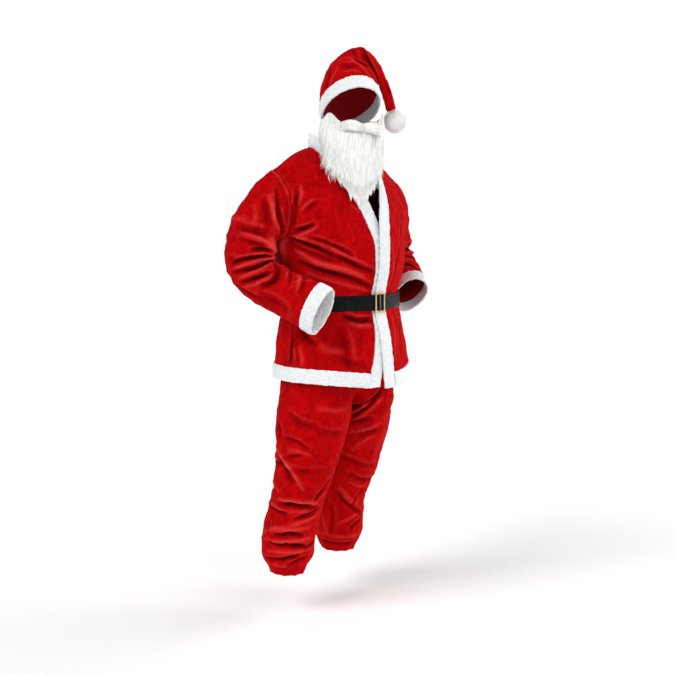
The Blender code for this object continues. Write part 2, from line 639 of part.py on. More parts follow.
def sleeve_sheet(table, creases):
    """A right sleeve from its armhole to its cuff seam, and the way that it points there."""
    stations = along(table, SLEEVE_RINGS + 1)
    ways = unit(stations[:, 5:8])
    sides, fronts = carried_frames(ways, (0, 0, -1))
    loop = np.concatenate([hole_front, hole_back[::-1][1:-1]])
    columns = len(loop)
    angles = 2 * math.pi * np.arange(columns) / columns
    rings = []
    for k in range(SLEEVE_RINGS + 1):
        wide, deep = stations[k, 3:5]
        ring = (stations[k, :3] + wide * np.cos(angles)[:, None] * sides[k]
                + deep * np.sin(angles)[:, None] * fronts[k])
        if k == 0:
            first = loop - ring
        ring = ring + max(0.0, 1 - k / 5) ** 2 * first
        place = k / SLEEVE_RINGS
        inside = 0.5 + 0.5 * np.cos(angles - math.pi / 3)
        depth = np.zeros(columns)
        for centre, deep_in, deep_out in creases:
            near = math.exp(-((place - centre) / 0.028) ** 2)
            depth += near * (deep_out + (deep_in - deep_out) * inside)
        if k >= 4:
            ring = ring - depth[:, None] * unit(ring - ring.mean(axis=0))
        rings.append(ring)
    return np.array(rings), ways[-1]


sleeve_points, way_right = sleeve_sheet(SLEEVE_RIGHT, ELBOW_RIGHT)
sleeve_right = Sheet(sleeve_points, closed=True)
sleeve_points, way_left = sleeve_sheet(SLEEVE_LEFT, ELBOW_LEFT)
sleeve_left = Sheet(mirror(sleeve_points), closed=True, turned=True)
way_left = mirror(way_left)

jacket = [jacket_right, jacket_left, jacket_back, sleeve_right, sleeve_left]
share_normals(jacket)
for sheet in jacket:
    raised = fold_rise(sheet.points, FOLDS) + wobble(sheet.points, 0.075, 0.0016)
    near_belt = np.exp(-((sheet.points[..., 2] - BELT_HEIGHT) / 0.035) ** 2)
    if sheet not in (sleeve_right, sleeve_left):
        raised = raised * (1 - near_belt)
    if sheet in (jacket_right, jacket_left):
        # the front edges are held flat by their white strips
        held = np.exp(-(np.linspace(1, 0, FRONT_COLUMNS + 1) / 0.22) ** 2)
        raised = raised * (1 - held * ease((0.02 - sheet.points[..., 1]) / 0.04))
    sheet.lifted = sheet.points + sheet.normals * raised[..., None]
for sheet in jacket:
    sheet.points = sheet.lifted

# the left front lies over the right one from the hem to where the necklines part
for row in range(jacket_left.points.shape[0]):
    height = jacket_left.points[row, -1, 2]
    amount = OVERLAP_LIFT * (1 + 0.55 * math.exp(-((height - 1.27) / 0.07) ** 2))
    amount *= 1 - ease((height - 1.32) / 0.09)
    for column, share in ((-1, 1.0), (-2, 0.75), (-3, 0.25)):
        jacket_left.points[row, column, 1] -= amount * share
share_normals(jacket)

# ---------------------------------------------------------------- jacket trims
for name, sheet, way in (("cuff_right", sleeve_right, way_right),
                         ("cuff_left", sleeve_left, way_left)):
    count = sheet.points.shape[1]
    strip(name, sheet.points[-1], np.tile(way, (count, 1)), sheet.normals[-1],
          trim_profile(TRIM_WIDTH), WHITE_PLUSH, closed=True, seam_out=sheet.normals[-1])

hem_line = np.concatenate([jacket_right.points[0, ::-1], jacket_back.points[0, 1:-1],
                           jacket_left.points[0]])
above = np.concatenate([jacket_right.points[1, ::-1], jacket_back.points[1, 1:-1],
                        jacket_left.points[1]])
hem_out = np.concatenate([jacket_right.normals[0, ::-1], jacket_back.normals[0, 1:-1],
                          jacket_left.normals[0]])
hem_down = unit(hem_line - above)
hem_down[:, 2] = -1.0
hem_down = unit(hem_down)
bottom_right = hem_line[0].copy()
bottom_left = hem_line[-1].copy()
down_right, down_left = hem_down[0], hem_down[-1]
hem_line[0] += SEAM_GAP * unit(hem_line[1] - hem_line[0])
hem_line[-1] += SEAM_GAP * unit(hem_line[-2] - hem_line[-1])
strip("hem_band", hem_line, hem_down, hem_out, trim_profile(TRIM_WIDTH), WHITE_PLUSH,
      seam_out=hem_out)


def band_across(edge, side):
    """Way that the front band runs from the red front to its free edge, at each row."""
    lean = np.array(LEAN)
    result = []
    for place in edge:
        height = place[2]
        level = min(max(height, 0.77), 1.215)
        here = body_point(turn_at(place[0], level), level)
        there = body_point(turn_at(place[0] + side * TRIM_WIDTH, level), level)
        row = through(lean[:, 0], lean[:, 1:], [height])[0]
        leaning = unit(np.array([side * row[0], -row[1], row[2]]))
        share = ease((height - 1.20) / 0.06)
        result.append(unit(unit(there - here) * (1 - share) + leaning * share))
    return np.array(result)


# one white strip runs up the right front, round the neck and down the left front
lower_right = (bottom_right + np.outer((TRIM_WIDTH, TRIM_WIDTH / 2), down_right))
lower_left = (bottom_left + np.outer((TRIM_WIDTH, TRIM_WIDTH / 2), down_left))
right_edge = np.concatenate([lower_right, jacket_right.points[:, -1]])
left_edge = np.concatenate([lower_left, jacket_left.points[:, -1]])
right_across = band_across(right_edge, 1)
left_across = band_across(left_edge, -1)
first = FRONT_COLUMNS
neck_edge = jacket_back.points[-1, first:first + NECK_COLUMNS + 1]
middle_lean = unit(np.array([0.0, -0.22, 0.97]))
neck_across = []
for share in np.linspace(-1, 1, NECK_COLUMNS + 1):
    end = right_across[-1] if share < 0 else left_across[-1]
    neck_across.append(end * abs(share) + middle_lean * (1 - abs(share)))
neck_across = unit(np.array(neck_across))
path = np.concatenate([right_edge, neck_edge[1:-1], left_edge[::-1]])
path_across = np.concatenate([right_across, neck_across[1:-1], left_across[::-1]])
path_runs = unit(np.gradient(path, axis=0))
path_out = unit(np.cross(path_across, path_runs))

# the cloth's edge and the strip's seam side lean the same way, between the two
count = len(right_edge)
seam_out = path_out.copy()
for rows, sheet in ((slice(2, count), jacket_right), (slice(count + 3, -2), jacket_left)):
    own = sheet.normals[:, -1] if sheet is jacket_right else sheet.normals[::-1, -1]
    both = unit(path_out[rows] + own)
    seam_out[rows] = both
    if sheet is jacket_right:
        sheet.normals[:, -1] = both
    else:
        sheet.normals[:, -1] = both[::-1]
both = unit(path_out[count - 1:count + 4]
            + jacket_back.normals[-1, first:first + NECK_COLUMNS + 1])
both[0], both[-1] = seam_out[count - 1], seam_out[count + 3]
seam_out[count - 1:count + 4] = both
jacket_back.normals[-1, first:first + NECK_COLUMNS + 1] = both

for name, start, end in (("front_band_right", 0, count), ("collar", count - 1, count + 4),
                         ("front_band_left", count + 3, len(path))):
    edge = path[start:end].copy()
    if start > 0:
        edge[0] += SEAM_GAP / 2 * path_runs[start]
    if end < len(path):
        edge[-1] -= SEAM_GAP / 2 * path_runs[end - 1]
    strip(name, edge, path_across[start:end], path_out[start:end], trim_profile(TRIM_WIDTH),
          WHITE_PLUSH, seam_out=seam_out[start:end])

cloth("jacket_front_right", jacket_right, PLUSH, RED_PLUSH, seams="btlr")
cloth("jacket_front_left", jacket_left, PLUSH, RED_PLUSH, seams="btlr")
cloth("jacket_back", jacket_back, PLUSH, RED_PLUSH, seams="btlr")
cloth("sleeve_right", sleeve_right, PLUSH, RED_PLUSH, seams="bt")
cloth("sleeve_left", sleeve_left, PLUSH, RED_PLUSH, seams="bt")


# ---------------------------------------------------------------- belt and waistband
def tree_of(names):
    """The named pieces as one search tree."""
    verts, faces = [], []
    for name in names:
        base = len(verts)
        verts.extend(Vector(v) for v in bodies[name][0])
        faces.extend(tuple(i + base for i in face) for face in bodies[name][1])
    return BVHTree.FromPolygons(verts, faces)


def reach(tree, angle, heights, outermost):
    """How far the pieces reach from the middle in one direction."""
    way = Vector((-math.cos(angle), -math.sin(angle), 0))
    found = []
    for height in heights:
        if outermost:
            start = Vector((0, 0, height)) + way * 0.6
            hit = tree.ray_cast(start, -way)[0]
            # a forearm in the way is passed over
            while hit is not None and math.hypot(hit.x, hit.y) > 0.235:
                hit = tree.ray_cast(hit - way * 0.0001, -way)[0]
        else:
            hit = tree.ray_cast(Vector((0, 0, height)), way)[0]
        if hit is not None:
            found.append(math.hypot(hit.x, hit.y))
    return max(found) if outermost else min(found)


JACKET_NAMES = ("jacket_front_right", "jacket_front_left", "jacket_back",
                "front_band_right", "front_band_left")
jacket_tree = tree_of(JACKET_NAMES)


def round_it(cloud, count, height):
    """The tight loop round a flat cloud of points, as the corners of its tangents."""
    angles = 2 * math.pi * (np.arange(count) + 0.5) / count
    ways = np.stack([-np.cos(angles), -np.sin(angles)], axis=1)
    reaches = (np.array(cloud) @ ways.T).max(axis=0)
    corners = []
    for i in range(count):
        pair = ways[[i - 1, i]]
        x, y = np.linalg.solve(pair, reaches[[i - 1, i]])
        corners.append((x, y, height))
    return np.array(corners)


half_belt = BELT_WIDTH / 2
belt_heights = np.linspace(BELT_HEIGHT - half_belt, BELT_HEIGHT + half_belt, 9)
cloud = []
for angle in np.linspace(0, 2 * math.pi, 360, endpoint=False):
    far = reach(jacket_tree, angle, belt_heights, True) + 0.0004
    cloud.append((-math.cos(angle) * far, -math.sin(angle) * far))
BELT_COLUMNS = 52
belt_edge = round_it(cloud, BELT_COLUMNS, BELT_HEIGHT - half_belt)
around = unit(np.roll(belt_edge, -1, axis=0) - np.roll(belt_edge, 1, axis=0))
belt_out = np.cross(around, np.array([0, 0, 1.0]))
belt_section = ((0, 0), (0, BELT_THICK * 0.7), (0.002, BELT_THICK),
                (BELT_WIDTH - 0.002, BELT_THICK), (BELT_WIDTH, BELT_THICK * 0.7),
                (BELT_WIDTH, 0))
strip("belt", belt_edge, np.tile((0, 0, 1.0), (BELT_COLUMNS, 1)), belt_out, belt_section,
      LEATHERETTE, closed=True)

# slide buckle: a frame with a bar down its middle, in front of the strap
belt_tree = tree_of(("belt",))
buckle_x = -0.010
front_y = min(belt_tree.ray_cast(Vector((buckle_x + dx, -0.6, BELT_HEIGHT)), Vector((0, 1, 0)))[0].y
              for dx in np.linspace(-BUCKLE_WIDTH / 2, BUCKLE_WIDTH / 2, 9))
back_y = front_y - 0.0003
x_lines = [-BUCKLE_WIDTH / 2, -BUCKLE_WIDTH / 2 + BUCKLE_BAR, -BUCKLE_BAR * 0.4,
           BUCKLE_BAR * 0.4, BUCKLE_WIDTH / 2 - BUCKLE_BAR, BUCKLE_WIDTH / 2]
z_lines = [-BUCKLE_TALL / 2, -BUCKLE_TALL / 2 + BUCKLE_BAR, BUCKLE_TALL / 2 - BUCKLE_BAR,
           BUCKLE_TALL / 2]
verts, faces, numbers = [], [], {}


def corner(i, k, back):
    key = (i, k, back)
    if key not in numbers:
        numbers[key] = len(verts)
        verts.append((buckle_x + x_lines[i], back_y if back else back_y - BUCKLE_THICK,
                      BELT_HEIGHT + z_lines[k]))
    return numbers[key]


filled = {(i, k) for i in range(5) for k in range(3) if k != 1 or i in (0, 2, 4)}
for i, k in sorted(filled):
    faces.append((corner(i, k, False), corner(i + 1, k, False), corner(i + 1, k + 1, False),
                  corner(i, k + 1, False)))
    faces.append((corner(i, k + 1, True), corner(i + 1, k + 1, True), corner(i + 1, k, True),
                  corner(i, k, True)))
    sides = (((i - 1, k), (i, k), (i, k + 1)), ((i + 1, k), (i + 1, k + 1), (i + 1, k)),
             ((i, k - 1), (i + 1, k), (i, k)), ((i, k + 1), (i, k + 1), (i + 1, k + 1)))
    for neighbour, a, b in sides:
        if neighbour not in filled:
            faces.append((corner(*a, True), corner(*a, False), corner(*b, False),
                          corner(*b, True))[::-1])
solid("belt_buckle", verts, faces, GOLD_METAL)

# the elastic waist sits inside the jacket under the belt
inner_heights = np.linspace(1.004, 1.004 + WAISTBAND_WIDTH, 7)
waist_columns = 2 * LEG_COLUMNS
waist_edge, waist_reach = [], []
for column in range(waist_columns):
    angle = 2 * math.pi * column / waist_columns
    near = [reach(jacket_tree, angle + step, inner_heights, False)
            for step in np.linspace(-0.08, 0.08, 7)]
    waist_reach.append(min(near) - 0.0006 - WAISTBAND_THICK)
    waist_edge.append((-math.cos(angle) * waist_reach[-1], -math.sin(angle) * waist_reach[-1],
                       1.004))
waist_edge = np.array(waist_edge)
around = unit(np.roll(waist_edge, -1, axis=0) - np.roll(waist_edge, 1, axis=0))
waist_out = np.cross(around, np.array([0, 0, 1.0]))
waist_section = ((0, 0), (0, WAISTBAND_THICK), (WAISTBAND_WIDTH, WAISTBAND_THICK),
                 (WAISTBAND_WIDTH, 0))
strip("waistband", waist_edge, np.tile((0, 0, 1.0), (waist_columns, 1)), waist_out,
      waist_section, ELASTIC_RED, closed=True)


# ---------------------------------------------------------------- trousers
def leg_sheet(table, side):
    """One trouser leg: first column at the front middle and inseam, last at the back."""
    seat = np.array(SEAT)[::-1]
    thigh = np.array(table[0])
    rows = []
    angles = np.linspace(0, 2 * math.pi, LEG_COLUMNS + 1)
    for height in SEAT_ROWS:
        half_width, front, back = through(seat[:, 0], seat[:, 1:], [height])[0]
        q = min(max((CROTCH_TOP - height) / (CROTCH_TOP - CROTCH), 0.0), 1.0)
        blend = 1 - (1 - q * q) ** 0.62
        line = []
        for angle in angles:
            turn = angle / 2
            depth = front if turn < math.pi / 2 else back
            seat_point = np.array([side * half_width * math.sin(turn), -depth * math.cos(turn)])
            leg_point = np.array([thigh[0] - side * thigh[3] * math.cos(angle),
                                  thigh[1] - thigh[4] * math.sin(angle)])
            flat = seat_point * (1 - blend) + leg_point * blend
            line.append((flat[0], flat[1], height))
        rows.append(line)
    for row in along(table, LEG_RINGS):
        line = []
        for angle in angles:
            line.append((row[0] - side * row[3] * math.cos(angle),
                         row[1] - row[4] * math.sin(angle), row[2]))
        rows.append(line)
    points = np.array(rows)
    # the top row meets the elastic waist
    for column in range(LEG_COLUMNS + 1):
        turn = math.pi * column / LEG_COLUMNS
        x, y = side * math.sin(turn), -math.cos(turn)
        angle = math.atan2(-y, -x) % (2 * math.pi)
        place = angle / (2 * math.pi) * waist_columns
        low = int(place) % waist_columns
        share = place - int(place)
        far = (waist_reach[low] * (1 - share) + waist_reach[(low + 1) % waist_columns] * share
               + WAISTBAND_THICK - 0.0004)
        points[0, column] = (x * far, y * far, 1.0038)
    return points


leg_right = Sheet(leg_sheet(LEG_RIGHT, -1))
leg_left = Sheet(leg_sheet(LEG_LEFT, 1), turned=True)
for sheet, end_height in ((leg_right, LEG_RIGHT[-1][2]), (leg_left, LEG_LEFT[-1][2])):
    share_normals([sheet])
    # the two ends of a leg's rows meet in the inseam, so they lean the same way there
    first_ring = len(SEAT_ROWS)
    joined = unit(sheet.normals[first_ring:, 0] + sheet.normals[first_ring:, -1])
    sheet.normals[first_ring:, 0] = joined
    sheet.normals[first_ring:, -1] = joined
    height = sheet.points[..., 2]
    raised = fold_rise(sheet.points, LEG_FOLDS) + wobble(sheet.points, 0.06, 0.0020)
    hidden = ease((height - 0.68) / 0.08)
    raised = raised * (1 - hidden)
    columns = np.arange(LEG_COLUMNS + 1)
    zigzag = np.where(columns % 2 == 0, 0.0030, -0.0030)
    gather = np.exp(-((height - end_height - 0.012) / 0.042) ** 2)
    raised = raised * (1 - gather) + zigzag[None, :] * gather
    waist_gather = np.exp(-((height - 0.975) / 0.030) ** 2)
    raised = raised - (0.0022 + 0.0015 * np.sign(zigzag)[None, :]) * waist_gather * (height < 1.0)
    raised[first_ring:, 0] = raised[first_ring:, -1]
    raised[:first_ring, 0] *= 0.0
    raised[:first_ring, -1] *= 0.0
    sheet.points = sheet.points + sheet.normals * raised[..., None]
    own_side = -1 if sheet is leg_right else 1
    sheet.points[..., 0] = own_side * np.maximum(sheet.points[..., 0] * own_side, 0.0)
    thigh = sheet.points[first_ring - 1:, :, 0]
    sheet.points[first_ring - 1:, :, 0] = own_side * np.maximum(thigh * own_side, 0.0008)
    share_normals([sheet])
    joined = unit(sheet.normals[first_ring:, 0] + sheet.normals[first_ring:, -1])
    sheet.normals[first_ring:, 0] = joined
    sheet.normals[first_ring:, -1] = joined
    sheet.normals[0, :, 2] = 0.0
    sheet.normals[:first_ring, (0, -1), 0] = 0.0
    sheet.normals = unit(sheet.normals)
cloth("trouser_leg_right", leg_right, PLUSH, RED_PLUSH, seams="blr")
cloth("trouser_leg_left", leg_left, PLUSH, RED_PLUSH, seams="blr")


# ---------------------------------------------------------------- hat
up = unit(np.array(HAT_UP))
facing = np.array(HAT_FACING)
facing = unit(facing - (facing @ up) * up)
left_side = np.cross(up, facing)
rim_middle = np.array(HAT_RIM)
hat_angles = 2 * math.pi * np.arange(HAT_COLUMNS) / HAT_COLUMNS


def rim_ring(level, grow=0.0):
    """The opening of the hat at a distance up from its lower edge."""
    side = HAT_HALF_SIDE + grow
    length = HAT_HALF_LENGTH + grow
    return (rim_middle + up * level + length * np.cos(hat_angles)[:, None] * facing
            + side * np.sin(hat_angles)[:, None] * left_side)


band_low = rim_ring(0.0)
band_out = unit(band_low - rim_middle)
band_profile = ((0.0, -TRIM_BEHIND), (0.0, 0.5 * TRIM_PROUD), (0.25 * HAT_BAND_WIDTH, TRIM_PROUD),
                (0.75 * HAT_BAND_WIDTH, TRIM_PROUD), (HAT_BAND_WIDTH, 0.5 * TRIM_PROUD),
                (HAT_BAND_WIDTH, -TRIM_BEHIND))
strip("hat_band", band_low, np.tile(up, (HAT_COLUMNS, 1)), band_out, band_profile, WHITE_PLUSH,
      closed=True)

stations = along(CROWN, CROWN_RINGS)
ways = unit(stations[:, 5:8])
sides, fronts = carried_frames(ways, facing)
rings = [rim_ring(HAT_BAND_WIDTH + SEAM_GAP)]
for k in range(1, CROWN_RINGS):
    rings.append(stations[k, :3] + stations[k, 4] * np.cos(hat_angles)[:, None] * sides[k]
                 + stations[k, 3] * np.sin(hat_angles)[:, None] * fronts[k])
crown = Sheet(np.array(rings), closed=True)
share_normals([crown])
raised = fold_rise(crown.points, HAT_FOLDS)
raised[0] = 0.0
raised[-6:] = 0.0
crown.points = crown.points + crown.normals * raised[..., None]
share_normals([crown])
crown.normals[0] = unit(crown.normals[0] - (crown.normals[0] @ up)[:, None] * up)
cloth("hat_crown", crown, PLUSH, RED_PLUSH, close_end=True)

# pompom: a ball of tufts, a little uneven
ball_verts, ball_faces = [], []
RINGS, SECTORS = 11, 18
ball_verts.append((0, 0, 1))
for i in range(1, RINGS):
    for j in range(SECTORS):
        polar = math.pi * i / RINGS
        turn = 2 * math.pi * (j + 0.5 * (i % 2)) / SECTORS
        tuft = 1 + 0.035 * math.cos(5 * turn + i) * math.sin(polar) + 0.02 * (-1) ** (i + j)
        ball_verts.append((tuft * math.sin(polar) * math.cos(turn),
                           tuft * math.sin(polar) * math.sin(turn), tuft * math.cos(polar)))
ball_verts.append((0, 0, -1))
for j in range(SECTORS):
    ball_faces.append((0, 1 + j, 1 + (j + 1) % SECTORS))
for i in range(RINGS - 2):
    for j in range(SECTORS):
        a = 1 + i * SECTORS + j
        b = 1 + i * SECTORS + (j + 1) % SECTORS
        c, d = b + SECTORS, a + SECTORS
        if i % 2 == 0:
            ball_faces.extend(((a, d, b), (b, d, c)))
        else:
            ball_faces.extend(((a, d, c), (a, c, b)))
base = 1 + (RINGS - 2) * SECTORS
for j in range(SECTORS):
    ball_faces.append((base + j, len(ball_verts) - 1, base + (j + 1) % SECTORS))
solid("pompom", np.array(POMPOM) + POMPOM_RADIUS * np.array(ball_verts), ball_faces, WHITE_PLUSH)

# ---------------------------------------------------------------- beard
beard_table = np.array(BEARD)[::-1]
face_way = unit(np.array([*BEARD_FACING]))
face_left = np.array([-face_way[1], face_way[0]])
chest_tree = tree_of(("jacket_front_right", "jacket_front_left", "front_band_right",
                      "front_band_left", "collar"))


def beard_top(angle):
    """Upper edge: under the mouth in front, over the cheeks, up to the sideburns at the ears."""
    side = abs(angle)
    cheek = 1.553 + 0.044 * ease((side - 0.33) / 0.38) + 0.029 * ease((side - 0.66) / 0.40)
    return cheek - 0.018 * ease((side - 1.15) / 0.35)


def beard_bottom(angle):
    """Lower edge: long on the chest, short at the ears, and fuller on the wearer's left."""
    side = abs(angle) / 1.75
    return 1.345 + 0.020 * side + (0.235 if angle < 0 else 0.130) * side ** 2.0


beard_rows_outer, beard_rows_inner = [], []
spread = np.linspace(-1.75, 1.75, BEARD_COLUMNS + 1)
for row in range(BEARD_ROWS + 1):
    share = row / BEARD_ROWS
    outer_line, inner_line = [], []
    for column, side in enumerate(spread):
        top, bottom = beard_top(side), beard_bottom(side)
        lock = (0.018 if column % 2 == 0 else -0.004) * (1.0 + 0.5 * math.sin(column * 1.7))
        bottom -= lock * ease((share - 0.6) / 0.4) * (1 - 0.6 * abs(side) / 1.75)
        height = top + (bottom - top) * share
        drawn_in = 0.42 if side < 0 else 0.32
        angle = side * (1 - drawn_in * ease((1.53 - height) / 0.17))
        cx, cy, radius, thick = through(beard_table[:, 0], beard_table[:, 1:], [height])[0]
        flat = face_way * math.cos(angle) + face_left * math.sin(angle)
        radius *= 1 - 0.05 * ease((abs(side) - 0.9) / 0.4)
        end = 1 - 0.75 * ease((share - 0.80) / 0.2)
        start = 0.45 + 0.55 * ease(share / 0.18)
        thin = thick * end * start * (1 - 0.45 * (abs(side) / 1.75) ** 2)
        wave = min(0.0020, 0.2 * thin) * (-1) ** column * ease(share * 2.0)
        outer_line.append((cx + flat[0] * (radius + wave), cy + flat[1] * (radius + wave), height))
        inner_line.append((cx + flat[0] * (radius - thin), cy + flat[1] * (radius - thin), height))
    beard_rows_outer.append(outer_line)
    beard_rows_inner.append(inner_line)
beard_outer = np.array(beard_rows_outer)
beard_inner = np.array(beard_rows_inner)
# it rests on the chest: wherever it would sink into the jacket it is moved out
push = np.zeros(beard_inner.shape[:2])
ways = [Vector((*(face_way * math.cos(0.65 * side) + face_left * math.sin(0.65 * side)), 0.0))
        for side in spread]
for row in range(BEARD_ROWS + 1):
    for column, way in enumerate(ways):
        start = Vector(beard_inner[row, column])
        hit = chest_tree.ray_cast(start + way * 0.10, -way, 0.12)[0]
        if hit is not None:
            push[row, column] = max(0.0, (hit - start).dot(way) + 0.0020)
for _ in range(4):
    wide = push.copy()
    wide[:, 1:] = np.maximum(wide[:, 1:], push[:, :-1] * 0.88)
    wide[:, :-1] = np.maximum(wide[:, :-1], push[:, 1:] * 0.88)
    wide[1:] = np.maximum(wide[1:], push[:-1] * 0.92)
    wide[:-1] = np.maximum(wide[:-1], push[1:] * 0.85)
    push = wide
push *= ease((1.75 - np.abs(spread)) / 0.22)[None, :]
beard_inner += push[..., None] * np.array(ways)[None]
beard_outer += push[..., None] * np.array(ways)[None]
columns = BEARD_COLUMNS + 1
verts = list(beard_outer.reshape(-1, 3)) + list(beard_inner.reshape(-1, 3))
count = len(verts) // 2
faces = []
for i in range(BEARD_ROWS):
    for j in range(BEARD_COLUMNS):
        a, b = i * columns + j, i * columns + j + 1
        c, d = b + columns, a + columns
        faces.extend(((d, c, b), (d, b, a)))
        faces.extend(((a + count, b + count, c + count), (a + count, c + count, d + count)))
edges = ([(j, j + 1) for j in range(BEARD_COLUMNS)]
         + [((i + 1) * columns - 1, (i + 2) * columns - 1) for i in range(BEARD_ROWS)]
         + [(BEARD_ROWS * columns + j + 1, BEARD_ROWS * columns + j)
            for j in range(BEARD_COLUMNS)[::-1]]
         + [((i + 1) * columns, i * columns) for i in range(BEARD_ROWS)[::-1]])
for a, b in edges:
    faces.append((a, b, b + count))
    faces.append((a, b + count, a + count))
solid("beard", verts, faces, WHITE_HAIR)

# moustache: two lobes that taper to their ends, over the upper edge of the beard
MOUSTACHE_STATIONS = 15
mouth = []
for share in np.linspace(-1, 1, MOUSTACHE_STATIONS):
    angle = share * 0.80
    flat = face_way * math.cos(angle) + face_left * math.sin(angle)
    height = 1.576 - 0.012 * share - 0.015 * abs(share) ** 2.5
    height += 0.004 * math.sin(math.pi * abs(share))
    cx, cy, radius, thick = through(beard_table[:, 0], beard_table[:, 1:], [height])[0]
    swell = 0.35 + 0.65 * math.sin(math.pi * min(abs(share) * 0.85 + 0.15, 1.0)) ** 0.8
    swell *= 1 - 0.75 * max(0.0, abs(share) - 0.8) / 0.2
    radius += 0.0010 + 0.0095 * swell
    mouth.append((cx + flat[0] * radius, cy + flat[1] * radius, height, flat[0], flat[1], swell))
verts, faces = [], []
SIDES = 8
for row in mouth:
    out = np.array([row[3], row[4], 0.0])
    for k in range(SIDES):
        turn = 2 * math.pi * k / SIDES
        verts.append(np.array(row[:3]) + out * 0.0095 * row[5] * math.cos(turn)
                     + np.array([0, 0, 1.0]) * 0.0165 * row[5] * math.sin(turn))
for i in range(MOUSTACHE_STATIONS - 1):
    for k in range(SIDES):
        a, b = i * SIDES + k, i * SIDES + (k + 1) % SIDES
        c, d = b + SIDES, a + SIDES
        faces.extend(((a, d, c), (a, c, b)))
for k in range(1, SIDES - 1):
    last = (MOUSTACHE_STATIONS - 1) * SIDES
    faces.append((0, k, k + 1))
    faces.append((last, last + k + 1, last + k))
solid("moustache", verts, faces, WHITE_HAIR)

# the beard's elastic goes round the back of the head, inside the hat band
ear_right = beard_inner[0, 0]
ear_left = beard_inner[0, -1]
path = []
for share in np.linspace(0, 1, 19):
    angle = math.pi + (0.5 - share) * 2 * 1.12
    tucked = ease((0.5 - abs(share - 0.5)) / 0.16)
    inside = 0.0095 - 0.0033 * tucked
    ring = (rim_middle + up * (0.014 * tucked - 0.004)
            + (HAT_HALF_LENGTH - inside) * math.cos(angle) * facing
            + (HAT_HALF_SIDE - inside) * math.sin(angle) * left_side)
    path.append(ring)
path = np.array(path)
if np.linalg.norm(path[0] - ear_right) > np.linalg.norm(path[-1] - ear_right):
    path = path[::-1]
middle_right = beard_inner[0:2, 0].mean(axis=0)
middle_left = beard_inner[0:2, -1].mean(axis=0)
path = np.concatenate([[middle_right + unit(path[0] - middle_right) * 0.0006], path,
                       [middle_left + unit(path[-1] - middle_left) * 0.0006]])
runs = unit(np.gradient(path, axis=0))
head = np.array([rim_middle[0], rim_middle[1], 1.65])
verts, faces = [], []
SIDES = 5
for place, run in zip(path, runs):
    out = unit((place - head) - ((place - head) @ run) * run)
    lift = np.cross(run, out)
    for k in range(SIDES):
        turn = 2 * math.pi * k / SIDES
        verts.append(place + ELASTIC_RADIUS * (out * math.cos(turn) + lift * math.sin(turn)))
for i in range(len(path) - 1):
    for k in range(SIDES):
        a, b = i * SIDES + k, i * SIDES + (k + 1) % SIDES
        c, d = b + SIDES, a + SIDES
        faces.extend(((a, b, c), (a, c, d)))
for k in range(1, SIDES - 1):
    last = (len(path) - 1) * SIDES
    faces.append((0, k + 1, k))
    faces.append((last, last + k, last + k + 1))
solid("beard_elastic", verts, faces, WHITE_ELASTIC)
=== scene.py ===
"""Santa suit: red plush jacket, trousers and hat, white pile trims, belt, false beard."""
import math
import bpy
import bmesh
import numpy as np
from mathutils import Matrix, Vector, noise
from mathutils.bvhtree import BVHTree
from mathutils.kdtree import KDTree


